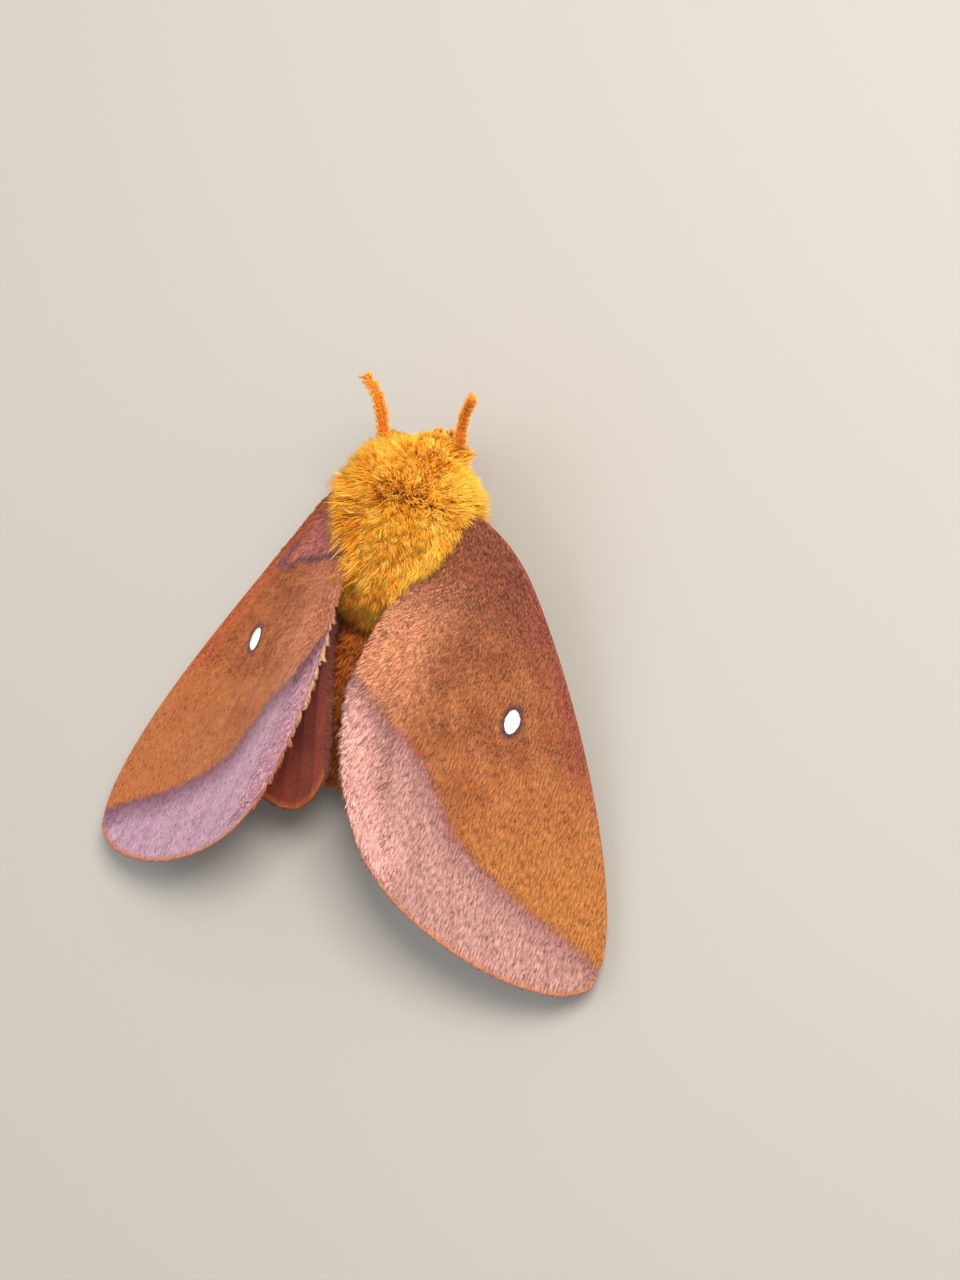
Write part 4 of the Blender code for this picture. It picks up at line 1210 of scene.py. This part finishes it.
lengths = (0.75 + 0.15 * ease(directions[:, 2]) + 1.1 * brow) * rng.uniform(0.8, 1.15, len(roots))
for side in (-1, 1):
    gap = np.linalg.norm(roots - head_point(side * EYE_CENTRE[0], *EYE_CENTRE[1:]), axis=1)
    lengths *= 1 - 0.6 * ease((1.5 - gap) / 0.6) * (1 - brow)
flat = np.abs(2 * crown - 1)
lines = hair_lines(
    roots, normals, lies, lengths, 0.3 * flat * rng.uniform(0.4, 1.0, len(roots)),
    (0.2 + 0.6 * flat) * rng.uniform(0.8, 1.2, len(roots)), BLADE_STATIONS,
)
lines, clump = clumped(lines, HEAD_CLUMPS, 0.35)
maps = np.stack([
    np.arctan2(directions[:, 1], directions[:, 0]) / (2 * math.pi) + 0.5,
    np.arccos(np.clip(directions[:, 2], -1, 1)) / math.pi * 0.9,
], -1)
for index, path in enumerate(palp_paths):
    along, side, up = ring_frames(path)
    k = rng.integers(2, len(path), PALP_HAIRS)
    angle = rng.uniform(0, 2 * math.pi, PALP_HAIRS)
    out = side[k] * np.cos(angle)[:, None] + up[k] * np.sin(angle)[:, None]
    palp_lines = hair_lines(
        path[k] + out * PALP_RADII[k][:, None] * 0.95, out, along[k], rng.uniform(0.3, 0.5, PALP_HAIRS),
        rng.uniform(0.5, 0.8, PALP_HAIRS), rng.uniform(1.0, 1.4, PALP_HAIRS), BLADE_STATIONS,
    )
    lines, normals = np.concatenate([lines, palp_lines]), np.concatenate([normals, out])
    maps = np.concatenate([maps, np.stack([angle / (2 * math.pi), 0.92 + 0.03 * index + 0.002 * k], -1)])
blades(
    "head_coat", lines, normals, rng.uniform(0.05, 0.075, len(lines)), maps,
    {"tint": rng.random(len(lines)), "low": np.zeros(len(lines))}, coat_hair,
)

# Abdomen coat: shorter, coarser hair of the same kind, rooted all along the rings of the abdomen. It
# lies back over them like a close brushed pelt, and is a little longer at the tail.

ABDOMEN_HAIRS = 12500
ABDOMEN_CLUMPS = 500
share = rng.uniform(0.0, 1.0, ABDOMEN_HAIRS)
angle = rng.uniform(0, 2 * math.pi, ABDOMEN_HAIRS)
centres, radii = abdomen_ring(share)
normals = np.stack([np.cos(angle), np.zeros_like(angle), np.sin(angle)], -1)
keep = rng.random(ABDOMEN_HAIRS) < radii / radii.max()
share, angle, centres, radii, normals = [a[keep] for a in (share, angle, centres, radii, normals)]
count = len(share)
roots = centres + normals * radii[:, None]
tail = ease((share - 0.85) / 0.15)
lies = np.stack([np.zeros(count), -np.ones(count), np.full(count, -0.12)], -1)
lies = turned(along_skin(lies, normals), normals, rng.normal(0, 0.2, count))
lengths = (0.85 + 0.3 * tail) * rng.uniform(0.75, 1.1, count)
lines = hair_lines(
    roots, normals, lies, lengths, rng.uniform(0.9, 1.15, count), rng.uniform(1.3, 1.5, count),
    BLADE_STATIONS,
)
lines, clump = clumped(lines, ABDOMEN_CLUMPS, 0.3)
# Abdomen hair: the same silk in ochre, darker and duller, which is painted shade in part, for it lies
# in the wings' shadow, so that it sinks back under the wings
abdomen_hair = hair_material(
    "silky_ochre_hair", "#863806", "#B4560C", "#C66814", "#D67E22", "#B4560C",
)
blades(
    "abdomen_coat", lines, normals, rng.uniform(0.06, 0.1, count),
    np.stack([angle / (2 * math.pi), share], -1), {"tint": rng.uniform(0.2, 0.8, count)},
    abdomen_hair,
)

# Leg coat: plush on thighs and shanks, and close short hair on the feet, all rooted in the legs'
# chitin and brushed down towards the claws.

# Leg hair: short dry hair, tawny with orange tips, which looks coarser than the coat's
leg_hair = hair_material(
    "short_orange_leg_hair", "#A85008", "#E88A1C", "#F49A2C", "#FFB048", "#E88A1C",
)
LEG_HAIRS = 1000
CLEAR_OF_FLOOR = 0.03
all_roots, all_normals, all_lies, all_lengths, all_maps = [], [], [], [], []
for index, (points, radii) in enumerate(leg_bones):
    along, side, up = ring_frames(points)
    at = rng.uniform(2, len(points) - 1.01, LEG_HAIRS)
    k = at.astype(int)
    t = (at - k)[:, None]
    angle = rng.uniform(0, 2 * math.pi, LEG_HAIRS)
    normal = side[k] * np.cos(angle)[:, None] + up[k] * np.sin(angle)[:, None]
    radius = radii[k] * (1 - t[:, 0]) + radii[k + 1] * t[:, 0]
    all_roots.append(points[k] * (1 - t) + points[k + 1] * t + normal * radius[:, None] * 0.95)
    all_normals.append(normal)
    all_lies.append(along[k])
    foot = ease((at - ANKLE + 2) / 6)
    all_lengths.append((0.62 * (1 - foot) + 0.2 * foot) * rng.uniform(0.7, 1.15, LEG_HAIRS))
    all_maps.append(np.stack([(index + angle / (2 * math.pi)) / len(leg_bones), at / len(points)], -1))
roots, normals, lies = np.vstack(all_roots), np.vstack(all_normals), np.vstack(all_lies)
lengths, maps = np.concatenate(all_lengths), np.vstack(all_maps)
count = len(roots)
lies = turned(along_skin(lies, normals), normals, rng.normal(0, 0.2, count))
lines = hair_lines(
    roots, normals, lies, lengths, rng.uniform(0.5, 0.8, count), rng.uniform(0.9, 1.3, count),
    BLADE_STATIONS,
)
lines[..., 2] = np.maximum(lines[..., 2], CLEAR_OF_FLOOR)
blades(
    "leg_coat", lines, normals, rng.uniform(0.06, 0.095, count), maps,
    {"tint": rng.random(count)}, leg_hair,
)

# Feelers: jointed shafts of orange chitin that stand in sockets on the brow. Each is thick with short
# bristles, which grow in tufts along its two edges and make it look like felt.

ANTENNA_PATHS = {
    "left": (
        (0.95, 1.5, 5.2), (2.0, 1.7, 5.75), (2.76, 2.25, 6.4), (2.86, 3.3, 7.2), (3.05, 4.35, 7.95),
        (3.72, 5.4, 8.7),
    ),
    "right": (
        (0.9, 1.5, 5.2), (1.85, 1.65, 5.75), (2.48, 2.15, 6.4), (2.66, 3.05, 7.1), (2.98, 3.95, 7.75),
        (3.5, 4.8, 8.4),
    ),
}
ANTENNA_RADIUS = 0.22
ANTENNA_JOINTS = 26
ANTENNA_TEETH = 15
ANTENNA_BRISTLES = 5000
BRISTLE_STATIONS = (0.0, 0.6)
# Bristles: stiff short hair, bright orange all along, which reads as felt rather than as strands
felt_hair = hair_material(
    "felted_orange_bristle", "#F4901C", "#FFB030", "#FFBC3C", "#FFC850", "#FFB030",
)
# Feeler chitin: smooth horn with a faint grain about 0.12 mm across, warm between the bristles
feeler_horn = grained_chitin(
    "orange_feeler_chitin", {"Roughness": 0.5, "Specular IOR Level": 0.4},
    8.0, ("#C05E12", "#F0861E"), 0.3, 0.02,
)
for side, side_name in ((-1, "left"), (1, "right")):
    path = smooth_path([head_point(side * x, y, z) for x, y, z in ANTENNA_PATHS[side_name]], 121)
    share = np.linspace(0, 1, len(path))
    joint = np.abs(np.sin(math.pi * ANTENNA_JOINTS * share)) ** 0.5
    radii = ANTENNA_RADIUS * (1.0 - 0.25 * share ** 2) * (0.82 + 0.18 * joint)
    shaft = new_object(f"feeler_shaft_{side_name}", *tube_form(path, radii, 14), feeler_horn)
    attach(shaft, "root")
    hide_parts(f"antenna_{side_name}")
    along, across, up = ring_frames(path)
    flank = rng.integers(0, 2, ANTENNA_BRISTLES)
    tooth = rng.integers(0, ANTENNA_TEETH, ANTENNA_BRISTLES)
    shift = rng.uniform(-0.25, 0.25, (2, ANTENNA_TEETH))[flank, tooth] + 0.5 * flank
    in_tooth = rng.random(ANTENNA_BRISTLES) < 0.6
    place = (tooth + 0.5 + shift + rng.normal(0, 0.12, ANTENNA_BRISTLES)) / ANTENNA_TEETH
    place = np.where(in_tooth, place, rng.random(ANTENNA_BRISTLES))
    at = np.clip(place * len(path), 4, len(path) - 1.01)
    k = at.astype(int)
    t = (at - k)[:, None]
    angle = rng.uniform(0, 2 * math.pi, ANTENNA_BRISTLES)
    angle = np.where(in_tooth, math.pi * flank + rng.normal(0, 0.55, ANTENNA_BRISTLES), angle)
    normals = across[k] * np.cos(angle)[:, None] + up[k] * np.sin(angle)[:, None]
    roots = path[k] * (1 - t) + path[k + 1] * t + normals * 0.1
    share = at / len(path)
    lengths = (0.56 - 0.1 * share) * np.where(in_tooth, 1.0, 0.8) * rng.uniform(0.6, 1.1, ANTENNA_BRISTLES)
    count = len(roots)
    lines = hair_lines(
        roots, normals, along[k], lengths, rng.uniform(0.35, 0.65, count),
        rng.uniform(0.5, 0.8, count), BRISTLE_STATIONS,
    )
    blades(
        f"feeler_bristles_{side_name}", lines, normals, rng.uniform(0.035, 0.055, count),
        np.stack([share, angle / (2 * math.pi)], -1), {"tint": rng.random(count)},
        felt_hair, (1.0, 0.75),
    )

# Wing plush and fringes: hair-like scales that stand in the membrane over each forewing's base, and
# short flat ones along every margin. The plush reads the same marks as the wing under it, so the
# markings run on through it.

PLUSH = {"left": 8000, "right": 12000}
INNER_BAND = 3500
PLUSH_STATIONS = (0.0, 0.55)
FRINGE = 1500
FRINGE_CLUMPS = {"forewing": 160, "hindwing": 300}
CREAM = {"left": 1.0, "right": 0.6}
TOP_OF_MOTH = CROWN_TOP + 0.1


def wing_frame(place, name, p, q):
    """Points, normals, and directions to the outer and the inner margin, at scattered places."""
    step = 1e-3
    points = place(name, p, q)
    along = place(name, np.clip(p + step, 0, 1), q) - place(name, np.clip(p - step, 0, 1), q)
    across = place(name, p, np.clip(q + step, 0, 1)) - place(name, p, np.clip(q - step, 0, 1))
    normals = unit(np.cross(along, across))
    normals = np.where(normals[:, 2:3] < 0, -normals, normals)
    return points, normals, unit(along), unit(across)


# Fringe scales: matt chitin in two shades on the outer margin and two on the inner one, so that the
# rim looks frayed and soft; the forewings' inner fringe is cream.
FRINGE_COLOURS = {
    ("forewing", "left"): ("#9C5234", "#C47C58", "#C98C62", "#F2CAA4"),
    ("forewing", "right"): ("#9C5A44", "#C88468", "#C68E84", "#F0C6BA"),
    ("hindwing", "left"): ("#6E2C1E", "#8E4430", "#6E2C1E", "#8E4430"),
    ("hindwing", "right"): ("#6E2C1E", "#8E4430", "#6E2C1E", "#8E4430"),
}
fringe_scales = {}
for (kind, name), (dark, light, inner_dark, inner_light) in FRINGE_COLOURS.items():
    material, tree, shader = new_material(f"{kind}_fringe_scales_{name}", {
        "Roughness": 0.7, "Specular IOR Level": 0.25, "Sheen Weight": 0.2,
    })
    colour = laid_over(tree, {}, [
        dark,
        (light, 1.0, [("tint",)]),
        ([inner_dark, (inner_light, 1.0, [("tint",)])], 1.0, [("innerness",)]),
        (dark, 0.5, [("reach", 0.3, 0.0)]),
    ])
    tree.links.new(colour, shader.inputs["Base Color"])
    fringe_scales[kind, name] = material

# p is a scale's place from the wing's root to its outer margin, and q from the front to the inner
# edge. The plush is dense at the base and thin beyond, with a band of it along the inner edge.
for name in FORE_POSE:
    p = np.concatenate([
        0.05 + 0.5 * rng.random(PLUSH[name] * 2 // 3) ** 1.3,
        0.05 + 0.93 * rng.random(PLUSH[name] // 3),
        0.06 + 0.9 * rng.random(INNER_BAND),
    ])
    q = np.concatenate([
        rng.uniform(0.01, 0.99, len(p) - INNER_BAND),
        0.995 - 0.22 * rng.random(INNER_BAND) ** 1.5,
    ])
    band = np.arange(len(p)) >= len(p) - INNER_BAND
    points, normals, along, across = wing_frame(forewing_points, name, p, q)
    marks = fore_marks(p, q)
    near_spot = marks["spot"] > 1.5
    p, q, points, normals, along, across, band = [
        a[near_spot] for a in (p, q, points, normals, along, across, band)
    ]
    marks = {key: value[near_spot] for key, value in marks.items()}
    count = len(p)
    base = ease((0.42 - p) / 0.35)
    lies = unit(along + math.tan(FORE_COLOURS[name]["turn"]) * across)
    lies = turned(lies, normals, rng.normal(0, 0.15, count))
    lengths = (0.24 + 0.26 * np.maximum(base, 0.9 * band)) * rng.uniform(0.7, 1.2, count)
    lines = hair_lines(
        points + normals * 0.02, normals, lies, lengths, rng.uniform(0.85, 1.25, count),
        rng.uniform(1.2, 1.5, count), PLUSH_STATIONS,
    )
    lines[..., 2] = np.minimum(lines[..., 2], TOP_OF_MOTH)
    marks["vein"] = np.zeros(count)
    marks["tint"] = rng.uniform(-0.55, 1.2, count)
    blades(
        f"forewing_plush_{name}", lines, normals, rng.uniform(0.045, 0.075, count),
        np.stack([p, q], -1), marks, fore_scales[name], (1.0, 0.8),
    )

    for kind, place, slot in (
        ("forewing", forewing_points, "wing"), ("hindwing", hindwing_points, "hindwing"),
    ):
        # Fringe: half of it on the inner margin and half on the outer, which share each draw
        count = 2 * FRINGE
        on_inner = rng.random(count) < 0.5
        spread = rng.random(count)
        p = np.where(on_inner, 0.08 + 0.92 * spread, 0.999)
        q = np.where(on_inner, 0.999 - 0.05 * rng.random(count) ** 2, spread)
        points, normals, along, across = wing_frame(place, name, p, q)
        fore_inner = on_inner * (kind == "forewing")
        creamy = fore_inner * ease((p - 0.42) / 0.15) * ease((0.9 - p) / 0.3) * CREAM[name]
        outward = np.where(on_inner[:, None], 0.75 * across + along, along)
        outward = turned(unit(outward), normals, rng.normal(0, 0.18, count))
        tail_corner = on_inner * (kind == "hindwing") * ease((0.75 - p) / 0.3)
        lengths = 0.22 + 0.36 * on_inner + 0.15 * creamy + 0.1 * tail_corner
        lengths = lengths * rng.uniform(0.5, 1.25, count)
        droop = fore_inner * (name == "left")
        lines = hair_lines(
            points - outward * 0.05 + normals * rng.uniform(-0.04, 0.03, count)[:, None],
            normals, outward, lengths, rng.uniform(1.35, 1.6, count) + 0.35 * droop,
            rng.uniform(1.4, 1.8, count) + 0.6 * droop, PLUSH_STATIONS,
        )
        lines, clump = clumped(lines, FRINGE_CLUMPS[kind], 0.7)
        lines[..., 2] = np.minimum(lines[..., 2], TOP_OF_MOTH)
        blades(
            f"{kind}_fringe_{name}", lines, normals, rng.uniform(0.035, 0.055, count),
            np.stack([p, q], -1), {"tint": rng.random(count), "innerness": creamy},
            fringe_scales[kind, name], (1.0, 0.9),
        )

# Studio: a pale matt floor under the moth, soft lamps above it, and the photograph's camera,
# which looks down on the moth's back from its right, rolled so that the head points up and right.

FLOOR_HALF = 0.6
floor_data = bpy.data.meshes.new("studio_floor")
floor_data.from_pydata([
    (-FLOOR_HALF, -FLOOR_HALF, 0), (FLOOR_HALF, -FLOOR_HALF, 0),
    (FLOOR_HALF, FLOOR_HALF, 0), (-FLOOR_HALF, FLOOR_HALF, 0),
], [], [(0, 1, 2, 3)])
# Studio paint: matt pale grey, which gives no gloss of its own
floor_paint, *_ = new_material("matt_studio_paint", {
    "Base Color": linear("#AAA7A1"), "Roughness": 0.9, "Specular IOR Level": 0.1,
})
floor = shown("studio_floor", floor_data, floor_paint)

world = bpy.data.worlds.new("studio_air")
world.use_nodes = True
air = world.node_tree.nodes["Background"]
air.inputs["Color"].default_value = linear("#F0EDEA")
air.inputs["Strength"].default_value = 0.66
bpy.context.scene.world = world

TARGET = placed((0.0, 0.0, 6.0))
TILT = math.radians(20.65)
ROLL = math.radians(18.2)
DISTANCE = 0.15
PIXELS_PER_MM = 15.8
FRAME_PIXELS = (960, 1280)
SENSOR = 36.0
TARGET_PIXEL = (405.0, 520.0)
toward = np.array((math.sin(TILT), 0.0, math.cos(TILT)))
sideways = np.array((math.cos(TILT), 0.0, -math.sin(TILT)))
headward = np.array((0.0, 1.0, 0.0))
right = sideways * math.cos(ROLL) + headward * math.sin(ROLL)
up = -sideways * math.sin(ROLL) + headward * math.cos(ROLL)


def add_lamp(name, size, power, colour, offset):
    """A square soft lamp that faces the moth, from an offset to the right, up and towards."""
    data = bpy.data.lights.new(name, "AREA")
    data.shape = "SQUARE"
    data.size = size
    data.energy = power
    data.color = linear(colour)[:3]
    lamp = bpy.data.objects.new(name, data)
    bpy.context.scene.collection.objects.link(lamp)
    place = TARGET + right * offset[0] + up * offset[1] + toward * offset[2]
    lamp.location = place
    lamp.rotation_euler = Vector(TARGET - place).to_track_quat("-Z", "Y").to_euler()


add_lamp("key_lamp", 0.12, 0.94, "#FFF8EE", (0.04, 0.11, 0.235))
add_lamp("fill_lamp", 0.2, 0.2, "#EEF2FF", (-0.2, 0.02, 0.15))
add_lamp("side_lamp", 0.12, 0.13, "#FFF4EA", (0.2, 0.0, 0.1))

camera_data = bpy.data.cameras.new("photo_camera")
camera_data.sensor_fit = "AUTO"
camera_data.sensor_width = SENSOR
camera_data.lens = SENSOR * DISTANCE / (FRAME_PIXELS[1] / PIXELS_PER_MM * MM)
camera_data.clip_start = 0.005
camera_data.clip_end = 5.0
camera = bpy.data.objects.new("photo_camera", camera_data)
bpy.context.scene.collection.objects.link(camera)
offset_x = (TARGET_PIXEL[0] - FRAME_PIXELS[0] / 2) / PIXELS_PER_MM * MM
offset_y = (FRAME_PIXELS[1] / 2 - TARGET_PIXEL[1]) / PIXELS_PER_MM * MM
eye_point = TARGET - right * offset_x - up * offset_y + toward * DISTANCE
camera_turn = np.eye(4)
camera_turn[:3, 0] = right
camera_turn[:3, 1] = up
camera_turn[:3, 2] = toward
camera_turn[:3, 3] = eye_point
camera.matrix_world = Matrix(camera_turn.tolist())
bpy.context.scene.camera = camera

scene_settings = bpy.context.scene.view_settings
scene_settings.view_transform = "Standard"
scene_settings.exposure = 0.0
